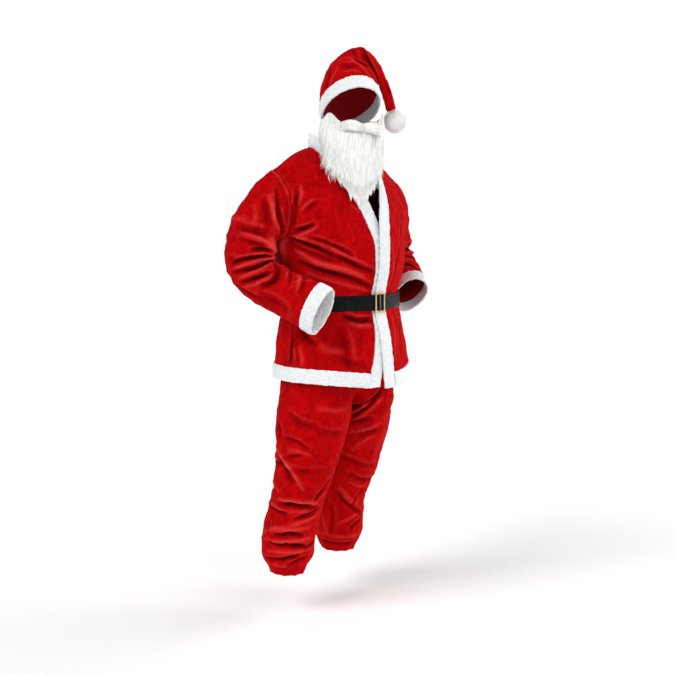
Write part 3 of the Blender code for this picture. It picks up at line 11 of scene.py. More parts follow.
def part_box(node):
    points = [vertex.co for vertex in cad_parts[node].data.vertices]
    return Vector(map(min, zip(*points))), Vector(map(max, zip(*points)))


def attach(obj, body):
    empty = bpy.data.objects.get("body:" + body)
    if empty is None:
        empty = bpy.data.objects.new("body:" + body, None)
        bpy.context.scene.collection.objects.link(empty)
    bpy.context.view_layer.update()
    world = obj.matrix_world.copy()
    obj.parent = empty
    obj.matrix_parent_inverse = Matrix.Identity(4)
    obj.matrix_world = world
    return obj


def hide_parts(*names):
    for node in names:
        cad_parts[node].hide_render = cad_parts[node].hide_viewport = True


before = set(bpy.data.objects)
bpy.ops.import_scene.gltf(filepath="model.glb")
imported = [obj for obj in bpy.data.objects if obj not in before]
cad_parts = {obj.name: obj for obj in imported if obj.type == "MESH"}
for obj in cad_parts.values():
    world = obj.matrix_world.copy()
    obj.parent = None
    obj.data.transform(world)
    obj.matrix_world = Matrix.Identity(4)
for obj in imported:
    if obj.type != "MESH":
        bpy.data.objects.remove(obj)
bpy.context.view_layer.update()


# ------------------------ the jacket's back
# One piece of red plush, cut to the width of both shoulders. Plush is a knitted backing with
# a 5 mm pile brushed downwards. The seams pull the pile in, and the belt gathers the waist.
class Shade:
    """A socket of a material's nodes, so that shader maths reads as maths."""

    def __init__(self, tree, socket=None):
        self.tree = tree
        self.socket = socket

    def add(self, kind, inputs=None, settings=None, out=0):
        node = self.tree.nodes.new(kind)
        for name, value in (settings or {}).items():
            setattr(node, name, value)
        for name, value in (inputs or {}).items():
            if isinstance(value, Shade):
                self.tree.links.new(value.socket, node.inputs[name])
            else:
                node.inputs[name].default_value = value
        return Shade(self.tree, node.outputs[out])

    def maths(self, operation, a, b):
        return self.add("ShaderNodeMath", {0: a, 1: b}, {"operation": operation})

    def __add__(self, other):
        return self.maths("ADD", self, other)

    def __sub__(self, other):
        return self.maths("SUBTRACT", self, other)

    def __rsub__(self, other):
        return self.maths("SUBTRACT", other, self)

    def __mul__(self, other):
        return self.maths("MULTIPLY", self, other)

    __radd__ = __add__
    __rmul__ = __mul__

    def clipped(self, low, high):
        """0 up to the low value, 1 from the high one on."""
        return self.add("ShaderNodeMapRange", {"Value": self, "From Min": low, "From Max": high})

    def blend(self, first, second):
        """The first colour where this is 0, the second where it is 1."""
        first, second = (colour if isinstance(colour, Shade) else (*colour, 1.0)
                         for colour in (first, second))
        factor, colour_a, colour_b, result = 0, 6, 7, 2     # the Mix node's colour sockets
        return self.add("ShaderNodeMix", {factor: self, colour_a: first, colour_b: second},
                        {"data_type": "RGBA"}, result)

    def noise(self, scale, detail, **more):
        """Cloudy unevenness, with its scale in waves to the metre."""
        return self.add("ShaderNodeTexNoise",
                        {"Vector": self, "Scale": scale, "Detail": detail, **more})


def finish_named(name, roughness, **constants):
    """A new material: its shader, and the place on the piece that its patterns start from."""
    made = bpy.data.materials.new(name)
    made.use_nodes = True
    shader = made.node_tree.nodes["Principled BSDF"]
    shader.inputs["Roughness"].default_value = roughness
    for key, value in constants.items():
        shader.inputs[key.replace("_", " ")].default_value = value
    return made, shader, Shade(made.node_tree).add("ShaderNodeTexCoord", out="Object")


def join_to(shader, name, shade):
    shade.tree.links.new(shade.socket, shader.inputs[name])


def relief(shader, height, strength, distance):
    """Fine unevenness, with its depth in metres, that only catches the light."""
    join_to(shader, "Normal", height.add("ShaderNodeBump", {
        "Strength": strength, "Distance": distance, "Height": height}))


# painted shade in the folds' hollows and painted highlight along their ridges, over the pile's own
# tone, which varies at random
PAINTED_FOLD_SHADE, LYING_PILE = (0.014, 0.0001, 0.0004), (0.265, 0.0002, 0.0012)
STANDING_PILE, PAINTED_RIDGE_HIGHLIGHT = (0.58, 0.0010, 0.0026), (0.88, 0.058, 0.056)
red_plush, plush_shader, plush_place = finish_named(
    "red_plush", 0.85, Sheen_Weight=0.24, Sheen_Roughness=0.30, Specular_IOR_Level=0.03,
    Sheen_Tint=(1.0, 0.04, 0.05, 1.0))
brushed = plush_place.add("ShaderNodeMapping",
                          {"Vector": plush_place, "Scale": (1.0, 1.0, 0.55)})
clump = brushed.noise(95.0, 5.0, Roughness=0.68, Distortion=0.9)
tuft = brushed.noise(330.0, 3.0, Roughness=0.7, Distortion=0.4)
sweep = plush_place.noise(21.0, 4.0, Roughness=0.60, Distortion=1.4)
pile_tone = (clump * 0.30 + tuft * 0.28 + sweep * 0.42).clipped(0.39, 0.63)
# the painted shade (up to 1) and painted highlight (down to -1) that the folds and seams leave on
# each point
painted_shade_and_highlight = plush_place.add("ShaderNodeAttribute", settings={"attribute_name": "painted_shade_and_highlight"},
                          out="Fac")
# painted highlight along the ridges, broken up by the tufts
painted_highlight_mask = (painted_shade_and_highlight * -1.0).clipped(0.0, 1.0) * (tuft.clipped(0.35, 0.60) * 0.5 + 0.4)
pile_with_painted_highlight = painted_highlight_mask.blend(pile_tone.blend(LYING_PILE, STANDING_PILE), PAINTED_RIDGE_HIGHLIGHT)
# painted shade, a near-black red, in the fold hollows and along the seams
join_to(plush_shader, "Base Color", painted_shade_and_highlight.clipped(0.0, 1.0).blend(pile_with_painted_highlight, PAINTED_FOLD_SHADE))
relief(plush_shader, clump * 0.60 + tuft * 0.40, 0.9, 0.0030)

knit, knit_shader, knit_place = finish_named("plush_backing", 0.9, Specular_IOR_Level=0.05)
knit_rows = knit_place.noise(420.0, 2.0)
join_to(knit_shader, "Base Color",
        knit_rows.clipped(0.35, 0.65).blend((0.26, 0.004, 0.006), (0.36, 0.008, 0.010)))
relief(knit_shader, knit_rows, 0.4, 0.0006)


def modified(piece, kind, **settings):
    """A modifier, applied."""
    bpy.ops.object.select_all(action="DESELECT")
    piece.hide_set(False)
    piece.select_set(True)
    bpy.context.view_layer.objects.active = piece
    added = piece.modifiers.new(kind.lower(), kind)
    for name, value in settings.items():
        setattr(added, name, value)
    bpy.ops.object.modifier_apply(modifier=added.name)


def piece_of(mesh, name):
    """A finished mesh as a piece of the scene."""
    made = bpy.data.meshes.new(name)
    mesh.to_mesh(made)
    mesh.free()
    piece = bpy.data.objects.new(name, made)
    bpy.context.scene.collection.objects.link(piece)
    return piece


def cloth_from(node, name, levels=2, fine_outside=True, sharp=0.9):
    """A solid's wall as cloth: face 0 outside, backing 1 inside, its rims kept in place."""
    mesh = bmesh.new()
    mesh.from_mesh(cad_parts[node].data)
    bmesh.ops.remove_doubles(mesh, verts=mesh.verts, dist=2e-5)
    walls = []
    waiting = set(mesh.faces)
    while waiting:
        group = [waiting.pop()]
        for face in group:
            for edge in face.edges:
                if len(edge.link_faces) == 2 and edge.calc_face_angle(0.0) < sharp:
                    for other in edge.link_faces:
                        if other in waiting:
                            waiting.discard(other)
                            group.append(other)
        walls.append(group)
    walls.sort(key=lambda group: -sum(face.calc_area() for face in group))
    outside = set(walls[0])
    for face in mesh.faces:
        face.material_index = 0 if face in outside else 1
        face.smooth = True
    firm = mesh.edges.layers.float.new("crease_edge")
    for edge in mesh.edges:
        if len(edge.link_faces) == 2 and edge.calc_face_angle(0.0) >= sharp:
            edge[firm] = 1.0
    bmesh.ops.join_triangles(mesh, faces=mesh.faces, cmp_materials=True,
                             angle_face_threshold=0.75, angle_shape_threshold=1.3)
    piece = piece_of(mesh, name)
    if levels:
        modified(piece, "SUBSURF", levels=levels, render_levels=levels,
                 boundary_smooth="PRESERVE_CORNERS")
    if fine_outside:
        mesh = bmesh.new()
        mesh.from_mesh(piece.data)
        edges = [edge for edge in mesh.edges
                 if all(face.material_index == 0 for face in edge.link_faces)]
        bmesh.ops.subdivide_edges(mesh, edges=edges, cuts=1, use_grid_fill=True, smooth=0.6)
        mesh.to_mesh(piece.data)
        mesh.free()
    return piece


def gap_to(places, points):
    """How far each point is from the nearest of some places, and which one that is."""
    tree = KDTree(len(places))
    for index, place in enumerate(places):
        tree.insert(place, index)
    tree.balance()
    found = [tree.find(point) for point in points]
    return np.array([gap for _, _, gap in found]), np.array([index for _, index, _ in found])


def unit(rows):
    return rows / np.maximum(np.linalg.norm(rows, axis=1), 1e-12)[:, None]


def softened(path, times):
    """A path with its corners rounded off and its ends kept."""
    for _ in range(times):
        path[1:-1] = path[1:-1] * 0.5 + (path[:-2] + path[2:]) * 0.25
    return path


class Wall:
    """A piece's points and the way out of the cloth at each, for shaping."""

    def __init__(self, piece):
        self.piece = piece
        data = piece.data
        count = len(data.vertices)
        self.points = np.zeros(count * 3)
        data.vertices.foreach_get("co", self.points)
        self.points = self.points.reshape(-1, 3)
        self.start = self.points.copy()
        outer, inner, beyond = np.zeros((3, count, 3))
        for polygon in data.polygons:
            corners = list(polygon.vertices)
            side = inner if polygon.material_index else outer
            side[corners] += np.array(polygon.normal) * polygon.area
            if polygon.material_index == 0:
                beyond[corners] += self.points[corners] - np.array(polygon.center)
        self.outside = np.abs(outer).sum(1) > 0
        self.rim = self.outside & (np.abs(inner).sum(1) > 0)
        self.out = unit(np.where(self.outside[:, None], outer, -inner))
        self.beyond = unit(beyond - (beyond * self.out).sum(1)[:, None] * self.out)
        # painted light for the pile's colour: painted highlight towards -1, painted shade towards 1
        self.painted_shade_and_highlight = np.zeros(count)      # -1 on a ridge, 1 in a hollow
        self.calm = np.ones(count)          # less where the cloth is pulled tight
        self.loose = np.ones(count)         # less near a cut edge, which is sewn down
        if self.rim.any():
            self.loose = np.clip(gap_to(self.points[self.rim], self.points)[0] / 0.008, 0.15, 1)

    def move(self, lift):
        self.points += self.out * lift[:, None]

    def fold(self, rows):
        """Soft troughs and ridges, in mm: half width, height, the points each runs through.

        Loose cloth hangs over a trough from above, so its upper side stands higher."""
        pile_wide, pile_high = 1.15, 1.35   # the pile makes each fold this much bigger
        reach = 4.2                         # half widths that a fold is felt over
        roll = 1.9                          # half widths from a trough to the rolls beside it
        furthest = 0.0150                   # metres that folds move the cloth at most
        total = np.zeros(len(self.points))
        skin = self.points[self.outside]
        for half, height, *line in rows:
            line = np.array(line) / 1000
            half = half * pile_wide / 1000
            shares = np.linspace(0, len(line) - 1, 8 * (len(line) - 1) + 1)
            path = softened(np.stack([np.interp(shares, range(len(line)), line[:, axis])
                                      for axis in range(3)], 1), 6)
            gap, nearest = gap_to(skin, path)
            path = softened(np.where((gap < 0.012)[:, None], skin[nearest], path), 8)
            close = np.flatnonzero(np.all((self.points > path.min(0) - reach * half)
                                          & (self.points < path.max(0) + reach * half), axis=1))
            if not len(close):
                continue
            gap, nearest = gap_to(path, self.points[close])
            skinned = self.outside[close]
            away = gap / half / np.where(skinned, 1.0, 1.5)
            upward = np.cross(np.gradient(path, axis=0)[nearest], self.out[close])
            upward = unit(upward * np.where(upward[:, 2] < 0, -1, 1)[:, None])
            above = ((self.points[close] - path[nearest]) * upward).sum(1) / half
            above = 0.5 + 0.5 * np.tanh(above * 1.5)
            along = nearest / (len(path) - 1)
            fade = np.clip(np.sin(np.pi * (0.05 + 0.90 * along)), 0, 1) ** 0.7
            # how strongly this fold paints shade and highlight into the pile's colour
            firm = min(1.0, abs(height) / 8) * fade ** 0.6
            if height < 0:
                beside = np.exp(-((away - roll) / 0.95) ** 2)
                shape = np.exp(-np.abs(away) ** 1.35)
                shape -= (0.12 + 0.50 * above) * beside * np.where(skinned, 1.0, 0.4)
                # painted highlight along the roll beside the trough, stronger on its upper side,
                # and painted shade down the trough
                painted_highlight = (0.05 + 0.40 * above) * np.exp(-((away - roll) / 0.55) ** 2)
                self.painted_shade_and_highlight[close] += firm * (1.05 * np.exp(-away ** 2 * 0.9) - painted_highlight)
            else:
                shape = np.exp(-away ** 2 * 0.7) * np.where(skinned, 1.0, 0.5)
                # painted highlight along the ridge
                self.painted_shade_and_highlight[close] -= 0.95 * firm * np.exp(-away ** 2 * 2.0)
            total[close] += height * pile_high / 1000 * fade * shape
        self.painted_shade_and_highlight *= self.calm
        # the backing stays below the pile, also where a fold is steep
        total[~self.outside] -= 0.15 * np.abs(total[~self.outside]) + 0.0008
        self.move(np.clip(total, -furthest, furthest) * (0.15 + 0.85 * self.loose) * self.calm)

    def near(self, place, radius):
        """1 at a place in mm, and less the further off."""
        gap = np.linalg.norm(self.points - np.array(place) / 1000, axis=1)
        return np.exp(-(gap / radius * 1000) ** 2)

    def filled(self, places):
        """Where the cloth stands fuller, or slacker, over a wide patch: place, radius, height."""
        for *place, radius, height in places:
            self.move(height / 1000 * self.near(place, radius))

    def stretched(self, places):
        """Where a joint or a seam pulls the cloth tight, given in mm with a radius."""
        for *place, radius in places:
            self.calm *= 1 - 0.85 * self.near(place, radius)

    def ruffle(self, amount, size, seed, stretch=(1, 1, 1)):
        """The pile's own unevenness."""
        scale = np.array(stretch) / size
        shift = Vector((seed, seed * 0.7, -seed))
        lift = np.array([noise.noise(Vector(point * scale) + shift) for point in self.points])
        lift[~self.outside] *= 0.15
        self.move(lift * amount * self.loose)

    def done(self):
        data = self.piece.data
        data.vertices.foreach_set("co", self.points.ravel())
        marks = data.attributes.new("painted_shade_and_highlight", "FLOAT", "POINT")
        marks.data.foreach_set("value", np.clip(self.painted_shade_and_highlight, -1, 1).astype(np.float32))
        data.update()


def skin_of(node):
    """A solid's surface, to look for places on."""
    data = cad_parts[node].data
    return BVHTree.FromPolygons([vertex.co for vertex in data.vertices],
                                [list(polygon.vertices) for polygon in data.polygons])


def seam_drawn_in(wall, others, painted_highlight, closed):
    """The pile dips where a seam holds it, and the two cut edges meet.

    Edges up to the closed gap apart are pushed together, and those further apart lean over."""
    depth, reach, widest = 0.0020, 0.007, 0.022
    # how far the painted shade reaches, and where and how wide the painted highlight lies
    painted_shade_reach, painted_highlight_place, painted_highlight_half = 0.0035, 0.0085, 0.0030
    gaps = np.full(len(wall.points), 1.0)
    across = np.zeros((len(wall.points), 3))
    for other in others:
        tree = skin_of(other)
        for index, point in enumerate(wall.start):
            place, normal, face, gap = tree.find_nearest(Vector(point), 0.03)
            if place is not None and gap < gaps[index]:
                gaps[index] = gap
                across[index] = np.array(place) - point
    # painted shade along the seam, and a painted highlight in a line a little way off it
    wall.painted_shade_and_highlight += 0.25 * np.exp(-(gaps / painted_shade_reach) ** 2)
    wall.painted_shade_and_highlight -= painted_highlight * np.exp(-((gaps - painted_highlight_place) / painted_highlight_half) ** 2)
    touching = np.clip((closed - gaps) / 0.0025, 0, 1)
    wall.move(-depth * np.exp(-(gaps / reach) ** 2) * (1 - touching))
    push = touching * (gaps + 0.0012) / np.maximum(gaps, 1e-5)
    wall.points += across * push[:, None]
    meeting = wall.rim & (gaps >= closed) & (gaps < widest)
    wall.points[meeting] += across[meeting] * 0.60 + wall.beyond[meeting] * 0.0018


def one_sided(piece):
    """The same finish on every face."""
    piece.data.polygons.foreach_set("material_index", [0] * len(piece.data.polygons))


def dressed(piece, slot, *finishes, node=None):
    """A piece with its finishes, in the place of the solid that it stands for."""
    for finish in finishes:
        piece.data.materials.append(finish)
    piece.data.polygons.foreach_set("use_smooth", [True] * len(piece.data.polygons))
    if node:
        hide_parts(node)
    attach(piece, "root")
    return piece


def sewn(node, folds=(), seams=(), tight=(), full=(), hem_rise=0.0, painted_highlight=0.12,
         closed=0.0045, fine=True):
    """A plush piece: its solid's form, its folds and its pile."""
    piece = cloth_from(node, node + "_cloth", 2, fine)
    wall = Wall(piece)
    wall.stretched(tight)
    wall.filled(full)
    if hem_rise:
        hem_level, hem_depth = -1.300, 0.08
        below = np.clip((hem_level - wall.points[:, 2]) / hem_depth, 0, 1)
        wall.points[:, 2] += hem_rise * below ** 1.5
    wall.fold(folds)
    if seams:
        seam_drawn_in(wall, seams, painted_highlight, closed)
    for amount, size, seed in ((0.0030, 0.030, 5.3), (0.0018, 0.014, 3.1),
                               (0.0009, 0.0065, 7.7)):
        wall.ruffle(amount, size, seed, stretch=(1, 1, 0.6))
    wall.done()
    return dressed(piece, "red_plush", red_plush, knit, node=node)


# each fold's half width, its height, which is negative for a hollow, and its points, in mm
BACK_FOLDS = (
    (7, -5, (190, 152, -230), (120, 161, -280), (30, 172, -300)),
    (8, -3.5, (200, 126, -290), (130, 151, -330), (50, 163, -340)),
    (7, 3, (190, 144, -260), (110, 157, -305), (30, 167, -320)),
    (7, -5, (-190, 156, -210), (-120, 173, -265), (-40, 175, -290)),
    (8, -3.5, (-200, 127, -280), (-130, 153, -315), (-60, 163, -325)),
    (7, 3, (-190, 149, -245), (-120, 156, -290), (-50, 170, -305)),
    (10, -2.5, (120, 139, -70), (70, 192, -130), (20, 217, -170)),
    (10, -2.5, (-130, 141, -80), (-80, 194, -150), (-30, 215, -190)),
    (6, -3.5, (140, 139, -362), (128, 134, -415), (136, 122, -450)),
    (7, -3.5, (84, 157, -392), (88, 150, -425), (78, 147, -450)),
    (6, -4.5, (24, 163, -350), (14, 160, -400), (22, 157, -450)),
    (5, -3, (-40, 160, -388), (-52, 156, -425), (-42, 155, -450)),
    (7, -4, (-118, 149, -360), (-104, 148, -405), (-112, 137, -450)),
    (6, 2.5, (110, 150, -370), (110, 143, -420), (110, 136, -450)),
    (6, 2.5, (-15, 163, -370), (-15, 160, -410), (-15, 157, -450)),
    (6, 2.5, (-80, 157, -380), (-80, 152, -420), (-80, 147, -450)),
    (8, -4.5, (130, 129, -515), (135, 140, -580), (140, 145, -640)),
    (8, -3.5, (50, 157, -515), (55, 168, -590), (60, 176, -660)),
    (8, -4.5, (-30, 160, -515), (-35, 171, -580), (-30, 178, -630)),
    (8, -3.5, (-120, 134, -515), (-125, 149, -590), (-130, 154, -670)),
    (9, 3, (90, 149, -515), (95, 165, -590), (100, 168, -660)),
    (9, 3, (-75, 153, -515), (-80, 165, -590), (-80, 171, -650)),
    (9, 2, (100, 154, -360), (0, 163, -375), (-90, 156, -355)),
)
jacket_back = sewn("jacket_back", BACK_FOLDS,
                   seams=("sleeve_left", "sleeve_right", "jacket_front_left",
                          "jacket_front_right"))

# ------------------------ the jacket's fronts
# Two red plush fronts, each cut curved at the neck. The left one laps over the right one, and
# the pull of the belt sends long folds from the right armpit across to the front edge.
RIGHT_FRONT_FOLDS = (
    (15, 9, (-241, 9, -270), (-239, 15, -299), (-239, 20, -318), (-233, 18, -350)),
    (5, -12, (-236, -19, -276), (-229, -52, -284), (-211, -87, -296), (-190, -110, -309),
     (-167, -131, -324)),
    (5, -10, (-234, -35, -250), (-230, -53, -244), (-222, -72, -240), (-211, -92, -231)),
    (6, 6, (-231, -45, -266), (-217, -76, -253), (-203, -101, -237)),
    (5, 5, (-235, -31, -266), (-215, -82, -274), (-183, -112, -290), (-152, -143, -309)),
    (5, -7, (-214, -82, -271), (-180, -114, -284), (-147, -146, -303), (-113, -165, -325)),
    (6, -9, (-167, -131, -324), (-133, -155, -340), (-88, -176, -360), (-42, -185, -381)),
    (6, 6, (-170, -125, -299), (-124, -159, -331), (-67, -182, -367)),
    (8, 7, (-230, -34, -310), (-210, -78, -337), (-182, -120, -355), (-134, -156, -368),
     (-77, -175, -392)),
    (6, -9, (-219, -42, -348), (-202, -79, -366), (-182, -116, -377), (-139, -148, -387),
     (-81, -170, -411), (-35, -174, -432)),
    (6, 5, (-210, -60, -379), (-175, -108, -400), (-128, -149, -416), (-53, -169, -438)),
    (5, -5, (-234, -21, -288), (-224, -47, -307), (-199, -102, -327), (-147, -147, -349)),
    (5, 5, (-226, -54, -184), (-217, -67, -166), (-204, -85, -153)),
    (5, -4, (-223, -68, -194), (-212, -79, -175), (-196, -99, -159)),
    (6, -5, (-228, -33, -141), (-232, -32, -185), (-234, -30, -228)),
    (7, 5, (-217, -40, -109), (-217, -53, -134), (-225, -47, -163)),
    (5, -3, (-225, -30, -116), (-227, -36, -141), (-232, -32, -172)),
    (4, 3, (-99, -148, -163), (-87, -158, -185), (-74, -163, -194)),
    (6, -8, (-128, -141, -516), (-104, -157, -529), (-73, -170, -534), (-39, -177, -533)),
    (7, 5, (-113, -157, -541), (-84, -173, -552), (-40, -183, -551)),
    (8, -7, (-216, -1, -583), (-221, -2, -621), (-226, -3, -664)),
    (8, -5, (-208, -39, -568), (-209, -72, -597), (-203, -93, -602)),
    (12, 3, (-198, -101, -604), (-175, -130, -626), (-121, -174, -627)),
    (9, -3, (-168, -146, -640), (-131, -175, -663), (-95, -192, -671)),
    (12, -4, (-144, -144, -568), (-139, -161, -604), (-139, -169, -656)),
    (9, 4, (-217, -39, -618), (-219, -55, -647), (-220, -52, -672)),
)
LEFT_FRONT_FOLDS = (
    (6, -8, (117, -163, -240), (96, -174, -291), (65, -189, -354), (48, -183, -417)),
    (8, 4, (153, -126, -156), (153, -145, -221), (147, -145, -271)),
    (5, 5, (33, -197, -282), (41, -194, -352), (38, -183, -423)),
    (5, -4, (25, -196, -256), (22, -198, -313), (22, -194, -377)),
    (7, 4, (55, -181, -533), (47, -201, -601), (30, -213, -662)),
    (6, -5, (107, -165, -545), (78, -191, -605), (76, -201, -655)),
    (7, -6, (222, -59, -300), (177, -126, -330)),
    (7, -5, (238, 24, -320), (216, -56, -350), (176, -125, -370)),
    (8, -5, (207, -4, -530), (220, -6, -600), (228, -16, -670)),
)
jacket_front_right = sewn("jacket_front_right", RIGHT_FRONT_FOLDS,
                          seams=("sleeve_right", "jacket_back"))
jacket_front_left = sewn("jacket_front_left", LEFT_FRONT_FOLDS,
                         seams=("sleeve_left", "jacket_back"))

# ------------------------ the sleeves
# One red plush piece each, sewn into a tube and set into the armhole. The bent elbow throws
# deep creases that fan from its inner side, and the cloth lies tight over its outer side.
RIGHT_SLEEVE_FOLDS = (
    (15, 11, (-322, -10, -266), (-308, -6, -294), (-303, 0, -321), (-288, 8, -346)),
    (5, 4, (-261, 48, -62), (-246, 22, -81), (-243, -3, -113), (-241, -14, -144)),
    (7, 9, (-313, -1, -140), (-313, -15, -184), (-314, -20, -218), (-282, -13, -256)),
    (6, -7, (-286, -4, -122), (-298, -21, -199), (-255, -2, -260)),
    (8, -4, (-331, 7, -153), (-331, -12, -199), (-331, -17, -239)),
    (10, -5, (-389, 58, -239), (-370, 14, -248), (-328, -12, -261)),
    (7, 9, (-391, 46, -251), (-364, 7, -263), (-327, -7, -283), (-295, 1, -315)),
    (6, -4, (-390, 47, -276), (-369, 15, -285), (-338, -5, -295)),
    (4.5, -11, (-365, 19, -307), (-341, 1, -301), (-314, -7, -308), (-276, 17, -332)),
    (5, 5, (-358, 14, -319), (-326, 3, -314), (-295, 0, -318)),
    (5, -11, (-397, 77, -351), (-386, 42, -335), (-357, 14, -329), (-313, 4, -321)),
    (5.5, 8, (-394, 62, -363), (-371, 22, -347), (-325, 4, -333), (-280, 17, -335)),
    (5, -9, (-393, 77, -379), (-383, 32, -368), (-357, 1, -362), (-304, 4, -346), (-284, 13, -341)),
    (5, 6, (-389, 48, -390), (-370, 0, -377), (-327, -21, -359), (-286, 10, -347)),
    (5, -10, (-386, 51, -409), (-379, 13, -398), (-358, -19, -386), (-338, -38, -373)),
    (6, 5, (-381, 34, -421), (-369, -13, -410), (-355, -43, -394)),
    (5, 7, (-286, 10, -347), (-287, -65, -371), (-319, -89, -390)),
    (7, -7, (-299, -23, -360), (-331, -62, -385), (-349, -55, -406), (-366, -28, -418)),
    (5, -5, (-287, -46, -363), (-302, -90, -382), (-324, -104, -407)),
    (6, 5, (-280, -93, -380), (-291, -117, -393), (-313, -128, -425)),
    (5, -4, (-264, -107, -386), (-294, -138, -410), (-309, -137, -431)),
    (4, 4, (-320, -104, -404), (-298, -125, -401), (-271, -141, -399), (-253, -135, -397)),
    (10, -4, (-361, -22, -447), (-331, -94, -471), (-235, -72, -520)),
    (9, 3, (-351, 22, -168), (-359, 8, -208), (-369, 15, -239)),
    (8, -5, (-334, 150, -270), (-382, 127, -285), (-395, 70, -275)),
    (8, -4, (-328, 158, -340), (-384, 130, -335), (-392, 52, -340)),
    (8, -5, (-287, 139, -400), (-361, 135, -390), (-388, 77, -400)),
    (9, 4, (-327, 129, -200), (-373, 104, -215), (-375, 35, -210)),
    (7, -5, (-381, 67, -420), (-371, 35, -440), (-356, -19, -460)),
    (8, -5, (-260, 107, -140), (-290, 125, -200), (-310, 145, -260)),
    (8, 5, (-290, 102, -130), (-320, 126, -190), (-340, 144, -250)),
    (7, -6, (-250, 106, -220), (-270, 98, -280), (-280, 140, -330)),
)
LEFT_SLEEVE_FOLDS = (
    (6, 8, (319, 19, -308), (373, 35, -300), (377, 34, -310)),
    (5, -9, (321, 25, -332), (367, 25, -334), (380, 32, -324)),
    (4, 5, (306, 17, -345), (361, 24, -344), (383, 35, -349)),
    (4.5, -8, (295, 7, -358), (325, -8, -352), (360, -9, -364)),
    (4.5, 6, (275, -11, -371), (299, -32, -364), (322, -52, -378)),
    (4.5, -7, (270, -16, -380), (285, -44, -376), (294, -82, -392)),
    (4.5, 5, (263, -27, -393), (269, -67, -392), (366, -23, -419)),
    (8, -6, (342, 34, -140), (366, 43, -200), (364, 21, -260)),
    (8, 6, (321, 92, -130), (365, 101, -190), (394, 73, -250)),
    (6, -9, (359, 23, -320), (407, 65, -340), (409, 122, -335)),
    (6, -9, (361, 11, -350), (404, 55, -375), (403, 114, -380)),
    (6, 6, (361, 22, -335), (406, 66, -360), (407, 123, -360)),
    (8, -5, (409, 72, -330), (400, 142, -350), (334, 171, -340)),
    (8, -4, (407, 92, -380), (339, 141, -400)),
    (9, -5, (347, 10, -200), (395, 98, -250), (397, 131, -300)),
    (8, -5, (398, 54, -310), (401, 136, -320)),
    (8, 5, (375, 35, -280), (395, 128, -290)),
    (8, -5, (270, 109, -140), (300, 135, -200), (310, 153, -260)),
)
OUTER_ELBOW = ((-392, 103, -262, 26), (-390, 116, -300, 30), (-388, 118, -345, 30),
               (-384, 107, -388, 24))
LEFT_ELBOW_ROLLS = ((376, 32, -292, 17, 9), (372, 26, -330, 18, 4))
# the armhole seams carry a stronger painted highlight beside them
sleeve_right = sewn("sleeve_right", RIGHT_SLEEVE_FOLDS, tight=OUTER_ELBOW,
                    seams=("jacket_front_right", "jacket_back"), painted_highlight=0.50)
sleeve_left = sewn("sleeve_left", LEFT_SLEEVE_FOLDS, full=LEFT_ELBOW_ROLLS,
                   seams=("jacket_front_left", "jacket_back"), painted_highlight=0.35)

